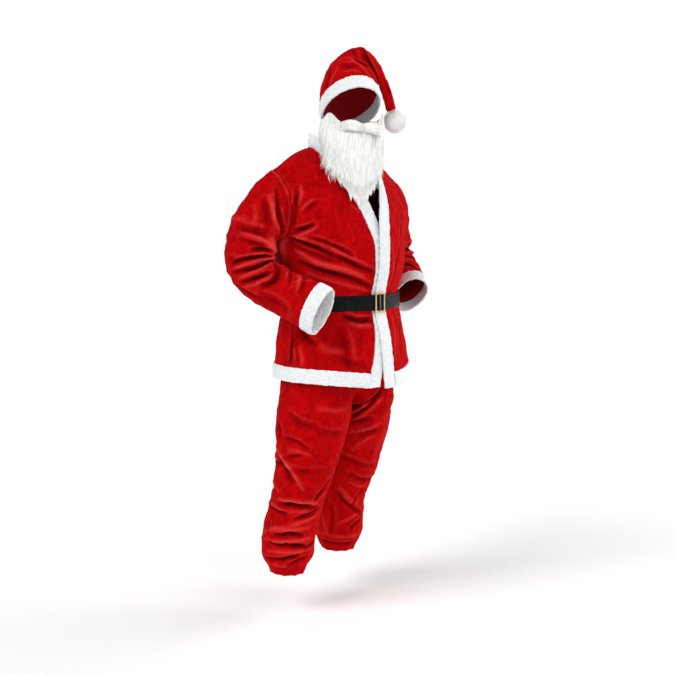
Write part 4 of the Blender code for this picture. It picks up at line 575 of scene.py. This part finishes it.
# ------------------------ the trousers
# Two legs of the same plush, joined at the front, back and crotch, with an elastic in a
# gathered waistband and another in each ankle hem. The long legs pile up in folds below
# the knee, where the ankle elastic stops them.
RIGHT_LEG_FOLDS = (
    (6, 8, (-210, 76, -943), (-228, 22, -964), (-223, 1, -993), (-211, -19, -1027),
     (-188, -23, -1071)),
    (8, -6, (-225, 49, -965), (-227, 19, -1002), (-215, -1, -1045)),
    (5, 6, (-207, 84, -1021), (-202, 93, -1062), (-221, 53, -1084)),
    (5, -5, (-230, 21, -907), (-228, -14, -908), (-217, -40, -916), (-204, -57, -934)),
    (4.5, -5, (-228, 14, -969), (-226, -16, -959), (-214, -41, -957)),
    (6, 4, (-230, 2, -939), (-221, -34, -938), (-197, -59, -953)),
    (7, -12, (-219, 47, -1125), (-207, 18, -1119), (-184, -4, -1122), (-137, -20, -1134)),
    (7, 6, (-222, 53, -1107), (-199, 3, -1105), (-139, -31, -1113)),
    (5, -8, (-204, 120, -1137), (-219, 65, -1147), (-211, 32, -1153)),
    (5, -10, (-186, 12, -1169), (-161, -3, -1159), (-128, -11, -1150), (-113, -22, -1135)),
    (5, 5, (-205, 20, -1145), (-167, -5, -1144), (-132, -29, -1124)),
    (7, 6, (-197, 28, -1189), (-164, 3, -1178), (-114, -5, -1167)),
    (5, 5, (-208, 111, -1122), (-220, 74, -1127), (-218, 47, -1138)),
    (6, -3, (-220, 107, -1184), (-225, 92, -1206), (-226, 101, -1226)),
    (5, -10, (-222, 66, -1227), (-201, 42, -1217), (-181, 26, -1218), (-157, 15, -1227)),
    (8, 6, (-223, 124, -1225), (-220, 69, -1202), (-191, 26, -1197), (-139, 6, -1206)),
    (5, -9, (-224, 98, -1249), (-218, 67, -1257), (-201, 42, -1255)),
    (5, -11, (-201, 42, -1255), (-172, 22, -1257), (-147, 16, -1264)),
    (5, -9, (-147, 16, -1274), (-112, 16, -1261), (-89, 21, -1244)),
    (5.5, 7, (-220, 126, -1249), (-215, 56, -1239), (-169, 21, -1241), (-124, 13, -1239)),
    (6, 7, (-219, 108, -1284), (-201, 48, -1275), (-162, 19, -1277), (-101, 22, -1274)),
    (5, -10, (-219, 118, -1308), (-207, 64, -1306), (-188, 38, -1295), (-167, 23, -1293)),
    (4.5, -7, (-186, 49, -1327), (-170, 29, -1310), (-136, 18, -1302)),
    (5, 5, (-214, 104, -1326), (-200, 72, -1329), (-177, 41, -1324)),
    (8, -4, (-223, 1, -832), (-218, -40, -856), (-193, -82, -866)),
    (6, -4, (-210, 61, -858), (-227, 29, -889), (-223, 52, -918)),
    (8, -3, (-185, -87, -879), (-141, -105, -889), (-81, -104, -891)),
    (9, 3, (-187, -90, -803), (-153, -118, -813), (-93, -124, -814)),
    (8, -3, (-227, 20, -1008), (-207, -28, -1010), (-154, -65, -1009)),
    (6, -6, (-104, -59, -1047), (-128, -47, -1077), (-140, -32, -1109)),
    (5, 5, (-112, -40, -1087), (-132, -33, -1110), (-150, -24, -1122)),
    (9, -3.5, (-40, 98, -800), (-100, 124, -825), (-180, 97, -815)),
    (7, -6, (-60, 99, -938), (-120, 123, -962), (-195, 90, -955)),
    (8, -7, (-85, 112, -984), (-135, 127, -992), (-190, 103, -975)),
    (6, -5, (-60, 99, -1022), (-125, 129, -1028), (-175, 112, -1008)),
    (6, 4.5, (-55, 95, -960), (-120, 123, -979), (-165, 110, -972)),
    (6, 4, (-95, 118, -1008), (-140, 128, -1010), (-200, 94, -992)),
    (9, -4, (-110, 148, -1092), (-150, 150, -1118), (-210, 101, -1122)),
    (6, -5.5, (-70, 138, -1168), (-120, 171, -1186), (-180, 150, -1192)),
    (7, -7, (-60, 141, -1232), (-115, 187, -1238), (-205, 148, -1216)),
    (6, -6, (-75, 152, -1262), (-135, 189, -1284), (-185, 170, -1290)),
    (6, 4, (-60, 138, -1206), (-120, 187, -1214), (-165, 175, -1205)),
    (5, 4, (-95, 170, -1256), (-135, 187, -1266), (-205, 147, -1252)),
    (7, -6, (-229, 20, -980), (-223, 60, -1000), (-193, 100, -990)),
)
LEFT_LEG_FOLDS = (
    (5, -12, (10, -36, -867), (21, -62, -849), (35, -84, -832), (49, -107, -811)),
    (4.5, -8, (7, -35, -844), (12, -48, -827), (24, -73, -825)),
    (5, -8, (37, -92, -815), (54, -112, -792), (72, -122, -770)),
    (4.5, 6, (12, -44, -850), (27, -75, -828), (43, -104, -804)),
    (6, 7, (21, -62, -859), (44, -95, -831), (70, -123, -799)),
    (6, -6, (14, -32, -885), (29, -64, -876), (45, -85, -865)),
    (8, 4, (24, -23, -917), (43, -59, -908), (83, -93, -889)),
    (6, -6, (76, 90, -1141), (97, 82, -1171), (136, 78, -1204), (184, 81, -1237)),
    (6, 5, (73, 73, -1118), (99, 65, -1151), (150, 67, -1188)),
    (5, -7, (149, 43, -1136), (134, 52, -1158), (125, 67, -1183)),
    (5, -8, (134, 85, -1273), (150, 82, -1262), (174, 81, -1252)),
    (5, 3.5, (74, 160, -1221), (78, 154, -1255), (83, 144, -1288)),
    (7, -3.5, (78, 125, -1192), (83, 121, -1236), (88, 130, -1279)),
    (4.5, -7, (87, 193, -1315), (89, 156, -1322), (115, 114, -1326), (156, 97, -1327),
     (187, 99, -1327)),
    (6, 4.5, (81, 187, -1292), (102, 110, -1299), (144, 85, -1299), (184, 86, -1300)),
    (6, 4, (98, 107, -1256), (120, 81, -1239), (164, 76, -1222)),
    (9, -4, (41, 40, -1004), (71, 0, -1026), (139, -13, -1048)),
    (7, -5, (77, 29, -1074), (122, 17, -1097), (193, 38, -1105)),
    (6, 4, (89, 41, -1098), (130, 34, -1121), (160, 35, -1119)),
    (8, -3, (34, -36, -923), (61, -69, -915), (101, -90, -905)),
    (8, 3, (48, -8, -981), (58, -44, -945), (84, -83, -930)),
    (9, -5, (210, 20, -800), (211, -20, -840), (177, -80, -850)),
    (7, -7, (219, 100, -1010), (227, 60, -1025), (202, 0, -1015)),
    (7, -7, (222, 120, -1060), (230, 90, -1075), (207, 30, -1070)),
    (6, -6.5, (222, 200, -1190), (234, 140, -1200), (211, 90, -1190)),
    (6, -6.5, (226, 210, -1240), (241, 150, -1252), (214, 100, -1245)),
    (6, 4.5, (228, 200, -1215), (239, 150, -1225), (207, 90, -1215)),
    (9, -3.5, (50, 110, -820), (100, 130, -840), (170, 103, -825)),
    (7, -6, (70, 128, -960), (125, 154, -988), (195, 116, -988)),
    (8, -7, (70, 133, -1012), (130, 163, -1022), (180, 140, -1003)),
    (6, -5.5, (95, 160, -1036), (145, 183, -1056), (210, 133, -1058)),
    (6, 4.5, (70, 132, -984), (125, 156, -1008), (175, 140, -1004)),
    (6, 4, (80, 144, -1030), (135, 174, -1040), (190, 140, -1026)),
    (9, -4, (90, 187, -1122), (140, 217, -1145), (205, 185, -1150)),
    (6, -6, (110, 222, -1196), (165, 246, -1203), (230, 179, -1180)),
    (7, -6.5, (100, 223, -1230), (150, 250, -1250), (210, 222, -1256)),
    (5, -5.5, (120, 240, -1282), (165, 252, -1286), (220, 223, -1266)),
    (6, 4.5, (100, 222, -1208), (150, 250, -1228), (195, 235, -1228)),
)
RIGHT_THIGH_FULL = ((-215, 60, -800, 40, 6), (-215, 70, -850, 45, 8), (-222, 55, -900, 40, 5))
LEFT_THIGH_SLACK = ((165, -95, -790, 45, -9), (160, -90, -860, 50, -13),
                    (172, -60, -940, 50, -13), (176, -25, -1010, 45, -9))
CROTCH_SEAM = 0.011
trouser_right = sewn("trouser_leg_right", RIGHT_LEG_FOLDS, seams=("trouser_leg_left",),
                     full=RIGHT_THIGH_FULL, hem_rise=0.017, closed=CROTCH_SEAM)
trouser_left = sewn("trouser_leg_left", LEFT_LEG_FOLDS, seams=("trouser_leg_right",),
                    full=LEFT_THIGH_SLACK, hem_rise=0.016, closed=CROTCH_SEAM)
waistband = sewn("waistband", fine=False)

# ------------------------ the white trims
# Strips of white curly pile, 46 mm wide on the outside, folded over the raw edges of the
# collar, fronts, hem, cuffs and hat and sewn through. The curls stand about 5 mm high.
curls, curls_shader, curls_place = finish_named(
    "white_pile", 0.9, Sheen_Weight=0.35, Sheen_Roughness=0.5, Specular_IOR_Level=0.2)
curl_cells = curls_place.add("ShaderNodeTexVoronoi",
                             {"Vector": curls_place, "Scale": 210.0, "Randomness": 1.0},
                             {"feature": "SMOOTH_F1"})
curl_height_and_painted_shade = curls_place.noise(260.0, 4.0, Distortion=1.2) * 0.7 - curl_cells * 0.8
# painted shade between the curls: the colour darkens where the curls stand low
join_to(curls_shader, "Base Color", (curl_height_and_painted_shade + 0.35).clipped(-0.15, 0.45).blend(
    (0.60, 0.63, 0.65), (0.82, 0.85, 0.86)))
relief(curls_shader, curl_height_and_painted_shade, 0.8, 0.0030)

for trim, length, held_by in (
        ("collar", 0.22, "jacket_back"), ("front_band_right", 0.86, "jacket_front_right"),
        ("front_band_left", 0.86, "jacket_front_left"), ("hem_band", 1.26, "jacket_back"),
        ("cuff_right", 0.42, "sleeve_right"), ("cuff_left", 0.40, "sleeve_left"),
        ("hat_band", 0.71, "hat_crown")):
    strip = cloth_from(trim, trim + "_pile", 3, False)
    one_sided(strip)
    strip_wall = Wall(strip)
    strip_wall.ruffle(0.0018, 0.0085, 1.3)
    strip_wall.ruffle(0.0014, 0.0045, 5.9)
    strip_wall.done()
    dressed(strip, "white_plush", curls, node=trim)

# ------------------------ the belt and its buckle
# A strap of black imitation leather, 50 mm wide, creased where it bends, with a gilt slide
# buckle of two uprights and a darker middle bar in front.
leather, leather_shader, leather_place = finish_named(
    "black_leatherette", 0.5, Specular_IOR_Level=0.07)
grain = leather_place.add("ShaderNodeTexVoronoi", {"Vector": leather_place, "Scale": 520.0},
                          {"feature": "DISTANCE_TO_EDGE"})
scuff = leather_place.noise(38.0, 4.0)
join_to(leather_shader, "Base Color",
        scuff.clipped(0.35, 0.70).blend((0.0016, 0.0018, 0.0020), (0.006, 0.0065, 0.007)))
join_to(leather_shader, "Roughness", scuff * 0.30 + 0.16)
relief(leather_shader, grain.clipped(0.0, 0.25) + scuff, 0.5, 0.0006)
belt = cloth_from("belt", "belt_strap", 2, False)
belt_wall = Wall(belt)
belt_wall.ruffle(0.0005, 0.03, 2.0)
belt_wall.done()
one_sided(belt)
dressed(belt, "black_leatherette", leather, node="belt")

gilt, gilt_shader, gilt_place = finish_named("gilt_buckle", 0.22, Metallic=1.0)
gilt_wear = gilt_place.noise(90.0, 4.0)
join_to(gilt_shader, "Base Color",
        gilt_wear.clipped(0.35, 0.7).blend((0.78, 0.56, 0.24), (0.60, 0.42, 0.18)))
join_to(gilt_shader, "Roughness", gilt_wear * 0.3 + 0.12)
steel, steel_shader, steel_place = finish_named("dark_steel", 0.3, Metallic=1.0)
join_to(steel_shader, "Base Color", steel_place.noise(140.0, 4.0).clipped(0.35, 0.7).blend(
    (0.10, 0.10, 0.11), (0.26, 0.26, 0.28)))
MIDDLE_BAR_HALF, BUCKLE_RAIL = 0.0052, 0.005
buckle = cloth_from("belt_buckle", "slide_buckle", 0, False)
modified(buckle, "BEVEL", width=0.0007, segments=3, limit_method="ANGLE")
buckle_low, buckle_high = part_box("belt_buckle")
buckle_middle = (buckle_low + buckle_high) / 2
across = np.array([face.center.x - buckle_middle.x for face in buckle.data.polygons])
tall = np.array([face.center.z - buckle_middle.z for face in buckle.data.polygons])
middle_bar = (abs(across) < MIDDLE_BAR_HALF) & (
    abs(tall) < (buckle_high.z - buckle_low.z) / 2 - BUCKLE_RAIL)
dressed(buckle, "gold_metal", gilt, steel, node="belt_buckle")
buckle.data.polygons.foreach_set("material_index", middle_bar.astype(int).tolist())

# ------------------------ the hat
# A cone of red plush that falls over to the left and ends in a white pompom, with a folded
# band of white pile. The cone creases sharply where its tail leaves the crown.
CROWN_FOLDS = (
    (4, -7, (48, -58, 332), (59, -62, 313), (74, -66, 291), (86, -72, 268), (96, -77, 245)),
    (4, -7, (-6, -70, 301), (10, -82, 292), (25, -90, 283), (48, -90, 271)),
    (4, 6, (-16, -71, 294), (-8, -86, 281), (3, -98, 268), (19, -109, 249)),
    (5, 4, (-23, -32, 306), (-18, -64, 301), (-5, -78, 291)),
    (7, -4, (-43, -52, 281), (-34, -70, 274), (-15, -84, 277)),
    (6, 3, (-18, 0, 305), (-30, 7, 292), (-43, 8, 275)),
    (5, -4, (-55, -14, 266), (-66, -11, 233), (-63, 6, 202)),
    (5, 4, (-55, -42, 271), (-64, -36, 242), (-65, -19, 214)),
    (6, -4, (17, -39, 334), (14, -60, 313), (24, -68, 304)),
    (5, 3, (-48, -66, 257), (-30, -84, 263), (-13, -104, 257)),
    (5, 3, (-51, 17, 249), (-59, 24, 216), (-52, 40, 185)),
    (4, -3, (111, -94, 239), (124, -100, 206), (134, -104, 173)),
    (6, -5, (50, 76, 190), (45, 62, 230), (40, 46, 270)),
    (6, -5, (0, 83, 170), (10, 68, 220), (20, 56, 260)),
    (6, -4, (90, 50, 190), (70, 48, 230), (50, 47, 260)),
    (6, 4, (25, 81, 190), (30, 64, 230), (30, 50, 270)),
    (6, 4, (-30, 61, 200), (-15, 57, 240), (0, 47, 270)),
    (6, -5, (90, 40, 210), (89, 20, 250), (72, -10, 290)),
    (6, 4, (105, 0, 220), (96, -10, 250), (77, -20, 285)),
)
CROWN_FULL = ((60, -106, 226, 20, 7), (50, -98, 255, 20, 7), (44, -54, 338, 15, 7))
hat_crown = sewn("hat_crown", CROWN_FOLDS, full=CROWN_FULL)

# a knot of long white yarn, its ends brushed out into a ball of pointed tufts
yarn, yarn_shader, yarn_place = finish_named(
    "white_yarn", 0.9, Sheen_Weight=0.5, Sheen_Roughness=0.5, Specular_IOR_Level=0.2)
join_to(yarn_shader, "Base Color",
        yarn_place.noise(300.0, 3.0, Distortion=0.8).clipped(0.25, 0.55).blend(
            (0.86, 0.84, 0.84), (0.99, 0.98, 0.98)))
TUFT_HALF, TUFT_LONG, TUFT_ROOT = 0.0015, 0.0075, 0.001
ball_low, ball_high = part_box("pompom")
ball_middle = (ball_low + ball_high) / 2
ball_radius = (ball_high - ball_low).x / 2
bpy.ops.object.select_all(action="DESELECT")
bpy.ops.mesh.primitive_ico_sphere_add(subdivisions=4, radius=ball_radius * 0.90,
                                      location=ball_middle)
pompom = bpy.context.object
pompom.name = "pompom_ball"
bpy.ops.object.transform_apply(location=True, rotation=True, scale=True)
ball = bmesh.new()
ball.from_mesh(pompom.data)
for spot in list(ball.verts):
    way = (spot.co - ball_middle).normalized()
    spot.co += way * (0.0025 * noise.noise(spot.co * 160))
for face in list(ball.faces):
    if face.index % 3 == 2:
        continue
    middle = face.calc_center_median()
    way = (middle - ball_middle).normalized()
    side = Matrix.Rotation(face.index * 2.4, 3, way) @ way.orthogonal().normalized()
    lean = side * 0.006 * noise.noise(middle * 70)
    root = middle - way * TUFT_ROOT
    a, b, c, tip = (ball.verts.new(place) for place in (
        root - side * TUFT_HALF, root + side * TUFT_HALF, root + way.cross(side) * 0.0016,
        middle + way * (TUFT_LONG + 0.0055 * noise.noise(middle * 333)) + lean))
    for ring in ((a, b, tip), (b, c, tip), (c, a, tip), (b, a, c)):
        ball.faces.new(ring)
bmesh.ops.recalc_face_normals(ball, faces=ball.faces)
ball.to_mesh(pompom.data)
ball.free()
dressed(pompom, "white_plush", yarn, node="pompom")

# ------------------------ the beard and moustache
# Long straight white fibres knotted to a cloth base. They hang in layered locks, thickest
# under the mouth, and end in ragged tips on the chest.
hair, hair_shader, hair_place = finish_named(
    "white_hair", 0.62, Specular_IOR_Level=0.35, Sheen_Weight=0.2, Sheen_Roughness=0.4)
hair_streaks = hair_place.add("ShaderNodeMapping",
                              {"Vector": hair_place, "Scale": (1.0, 1.0, 0.12)})
hair_tone = hair_streaks.noise(240.0, 3.0)
join_to(hair_shader, "Base Color",
        hair_tone.clipped(0.30, 0.60).blend((0.79, 0.80, 0.77), (0.90, 0.91, 0.885)))
relief(hair_shader, hair_tone, 0.35, 0.001)

beard_base = cloth_from("beard", "beard_base", 1, False, sharp=1.2)
one_sided(beard_base)
dressed(beard_base, "white_hair", hair)
beard_skin = skin_of("beard")
FORWARD = Vector((-0.46, -0.888, 0.0))
LEFTWARD = Vector((0.888, -0.46, 0.0))
BEARD_HALF_TURN = 1.72      # radians about the head from its front to each end of the beard
LOCKS_IN_LAYER = 380
SPREAD_RIGHT, SPREAD_LEFT = 0.027, 0.010


def way_at(turn):
    """The way out of the head at a turn from its front towards the wearer's left."""
    return FORWARD * math.cos(turn) + LEFTWARD * math.sin(turn)


def head_middle(height):
    """The middle of the head at a height, which lies further forward at the chin."""
    low = max(0.0, min(1.0, (0.122 - height) / 0.30))
    return Vector((0.010 - 0.060 * low, -0.043 - 0.050 * low, height))


def on_beard(turn, height):
    """The beard's outside at a turn about the head and a height, with the way out there."""
    way = way_at(turn)
    place, normal, face, gap = beard_skin.ray_cast(head_middle(height) + way * 0.30, -way, 0.28)
    if place is None:
        return None
    return place, (normal * 0.5 + way * 0.5).normalized()


def eased(share):
    share = min(max(share, 0.0), 1.0)
    return share * share * (3 - 2 * share)


def beard_edges(turn):
    """The heights where the beard starts and ends at a turn about the head."""
    side = abs(turn)
    below_lip, tip = 0.051, -0.153
    start = below_lip + 0.044 * eased((side - 0.33) / 0.38)     # up over the corner of the mouth
    start += 0.029 * eased((side - 0.66) / 0.40)                # up the cheek
    start -= 0.018 * eased((side - 1.15) / 0.35)                # and down behind it
    return start, tip + 0.012 * side + (0.077 if turn < 0 else 0.042) * side ** 2


def strand(mesh, path, outs, width):
    """A lock of fibres as a flat tapering tube of four sides."""
    rings = []
    for index, (place, out) in enumerate(zip(path, outs)):
        share = index / (len(path) - 1)
        run = (path[min(index + 1, len(path) - 1)] - path[max(index - 1, 0)]).normalized()
        side = run.cross(out).normalized()
        half = width * (0.55 + 0.45 * math.sin(math.pi * min(share * 1.25, 1.0)))
        half *= max(0.06, 1 - max(0.0, share - 0.55) / 0.46)
        rings.append([mesh.verts.new(place + offset) for offset in (
            side * half, out * half * 0.55, side * -half, out * -half * 0.4)])
    for one, two in zip(rings, rings[1:]):
        for k in range(4):
            mesh.faces.new((one[k], one[(k + 1) % 4], two[(k + 1) % 4], two[k]))
    mesh.faces.new(rings[0][::-1])
    mesh.faces.new(rings[-1])


def lock(mesh, turn, height, finish, length, lift, waves=0.020, thickness=1.0):
    """One lock that lies down the beard from a turn and a height, its tip kept to the edge."""
    reach = min(length * chance.uniform(0.75, 1.15), max(0.02, height - finish) * 1.10)
    clump = round(turn * 8) / 8
    wave = chance.uniform(0, 6.3)
    path, outs = [], []
    for share in (step / 8 for step in range(9)):
        bent = turn + (clump - turn) * 0.38 * share ** 1.5
        bent += waves * math.sin(wave + share * 6.0) * (0.25 + 0.75 * share)
        level = height - reach * share
        top = beard_edges(bent)[0] - 0.002
        found = on_beard(bent, min(level, top))
        if found is None:
            break
        place, out = found
        place.z += max(0.0, level - top)
        spread = eased((abs(turn) - 0.25) / 0.55) * eased((0.030 - place.z) / 0.11)
        spread *= SPREAD_RIGHT if turn < 0 else SPREAD_LEFT
        place = place + LEFTWARD * math.copysign(spread, turn) + out * spread * 0.30
        path.append(place + out * (lift + 0.0012 * math.sin(math.pi * share)
                                   + 0.0005 * math.sin(wave * 2 + share * 7)))
        outs.append(out)
    if len(path) >= 4:
        strand(mesh, path, outs, thickness * chance.uniform(0.0010, 0.0019))


def hair_piece(mesh, name, node):
    """All of a piece's locks as one mesh on its base."""
    bmesh.ops.recalc_face_normals(mesh, faces=mesh.faces)
    dressed(piece_of(mesh, name), "white_hair", hair, node=node)


# layers from the tips up: how far down the beard each is rooted, its length and its lift
chance = np.random.default_rng(12)
locks = bmesh.new()
for top_share, length, lift in (
        (0.60, 0.085, 0.0006), (0.44, 0.105, 0.0011), (0.28, 0.120, 0.0016),
        (0.12, 0.130, 0.0021), (0.0, 0.140, 0.0026)):
    for count in range(LOCKS_IN_LAYER):
        share = (count + chance.uniform(-0.5, 0.5)) / (LOCKS_IN_LAYER - 1)
        turn = share * 2 * BEARD_HALF_TURN - BEARD_HALF_TURN
        start, finish = beard_edges(turn)
        height = start + (finish - start) * (top_share + chance.uniform(-0.06, 0.06))
        upper = start - 0.001 + 0.017 * (1 - eased((abs(turn) - 0.40) / 0.08))
        upper -= 0.003 * math.exp(-((turn + 0.04) / 0.07) ** 2)
        lock(locks, turn, min(height + 0.016, upper), finish, length, lift)
for count in range(150):    # loose wisps at the tips
    turn = chance.uniform(-1.25, 0.9)
    start, finish = beard_edges(turn)
    lock(locks, turn, finish + chance.uniform(0.015, 0.050), finish - 0.006, 0.060, 0.0040,
         waves=0.060, thickness=0.55)
hair_piece(locks, "beard_locks", "beard")

moustache_base = cloth_from("moustache", "moustache_base", 2, False)
one_sided(moustache_base)
dressed(moustache_base, "white_hair", hair)
lip_skin = skin_of("moustache")
WHISKERS, WHISKER_STEPS, LIP_HEIGHT, LIP_REACH = 520, 7, 0.076, 0.092
whiskers = bmesh.new()
for count in range(WHISKERS):
    outward = 1 if count % 2 else -1
    begin = abs(chance.normal(0, 0.22))
    over = chance.uniform(-1.35, 1.45)
    end = min(begin + chance.uniform(0.28, 0.60), 1.02)
    wave = chance.uniform(0, 6.3)
    path, outs = [], []
    for step in range(WHISKER_STEPS + 1):
        share = (begin + (end - begin) * step / WHISKER_STEPS) * outward
        height = LIP_HEIGHT - 0.012 * share - 0.015 * abs(share) ** 2.5 \
            + 0.004 * math.sin(math.pi * abs(share))
        way = way_at(share * 0.80)
        spot = head_middle(height) + way * LIP_REACH
        lean = over + 0.16 * math.sin(wave + step * 0.9)
        look = (way * math.cos(lean) + Vector((0, 0, math.sin(lean)))).normalized()
        place, normal, face, gap = lip_skin.ray_cast(spot + look * 0.05, -look, 0.06)
        if place is None:
            break
        lifted = 0.0010 + 0.0009 * math.sin(math.pi * step / WHISKER_STEPS)
        path.append(place + normal * lifted)
        outs.append(normal)
    if len(path) >= 4:
        strand(whiskers, path, outs, chance.uniform(0.0008, 0.0015))
hair_piece(whiskers, "moustache_locks", "moustache")

elastic, elastic_shader, elastic_place = finish_named("white_elastic", 0.7)
join_to(elastic_shader, "Base Color", elastic_place.noise(900.0, 2.0).clipped(0.35, 0.65).blend(
    (0.62, 0.62, 0.60), (0.86, 0.86, 0.84)))
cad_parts["beard_elastic"].data.materials.clear()
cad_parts["beard_elastic"].data.materials.append(elastic)

# ------------------------ floor, light and camera
# A plain white studio: a large soft light high on the left, weaker ones in front and on the
# right, and a pale floor.
FLOOR_LEVEL = -1.5
bpy.ops.object.select_all(action="DESELECT")
bpy.ops.mesh.primitive_plane_add(size=30, location=(0, 0, FLOOR_LEVEL))
floor = bpy.context.object
floor.name = "floor"
white, white_shader, _ = finish_named("studio_white", 0.9)
white_shader.inputs["Base Color"].default_value = (0.98, 0.98, 0.98, 1.0)
floor.data.materials.append(white)

# the air lights the suit less than it shows behind it
world = bpy.data.worlds.new("studio")
bpy.context.scene.world = world
world.use_nodes = True
background = world.node_tree.nodes["Background"]
background.inputs["Color"].default_value = (1.0, 1.0, 1.0, 1.0)
seen = Shade(world.node_tree).add("ShaderNodeLightPath", out="Is Camera Ray")
join_to(background, "Strength", seen * 0.62 + 0.40)
bpy.context.scene.view_settings.view_transform = "Standard"
for name, way, spread, power in (
        ("key", (-1.06, 0.05, 0.90), 30, 1.7),
        ("fill", (-0.14, -0.99, 0.40), 50, 0.80),
        ("edge", (0.92, -0.41, 0.50), 50, 1.9)):
    lamp = bpy.data.lights.new(name, "SUN")
    lamp.angle = math.radians(spread)
    lamp.energy = power
    light = bpy.data.objects.new(name, lamp)
    light.rotation_euler = Vector(way).to_track_quat("Z", "Y").to_euler()
    bpy.context.scene.collection.objects.link(light)

lens = bpy.data.cameras.new("camera")
lens.sensor_width = 36
lens.lens = 68.32
lens.shift_y = -0.2289
lens.clip_end = 100
camera = bpy.data.objects.new("camera", lens)
camera.location = (-2.9755, -2.9642, -0.10)
camera.rotation_euler = (math.radians(90), 0, math.radians(-45))
bpy.context.scene.collection.objects.link(camera)
bpy.context.scene.camera = camera
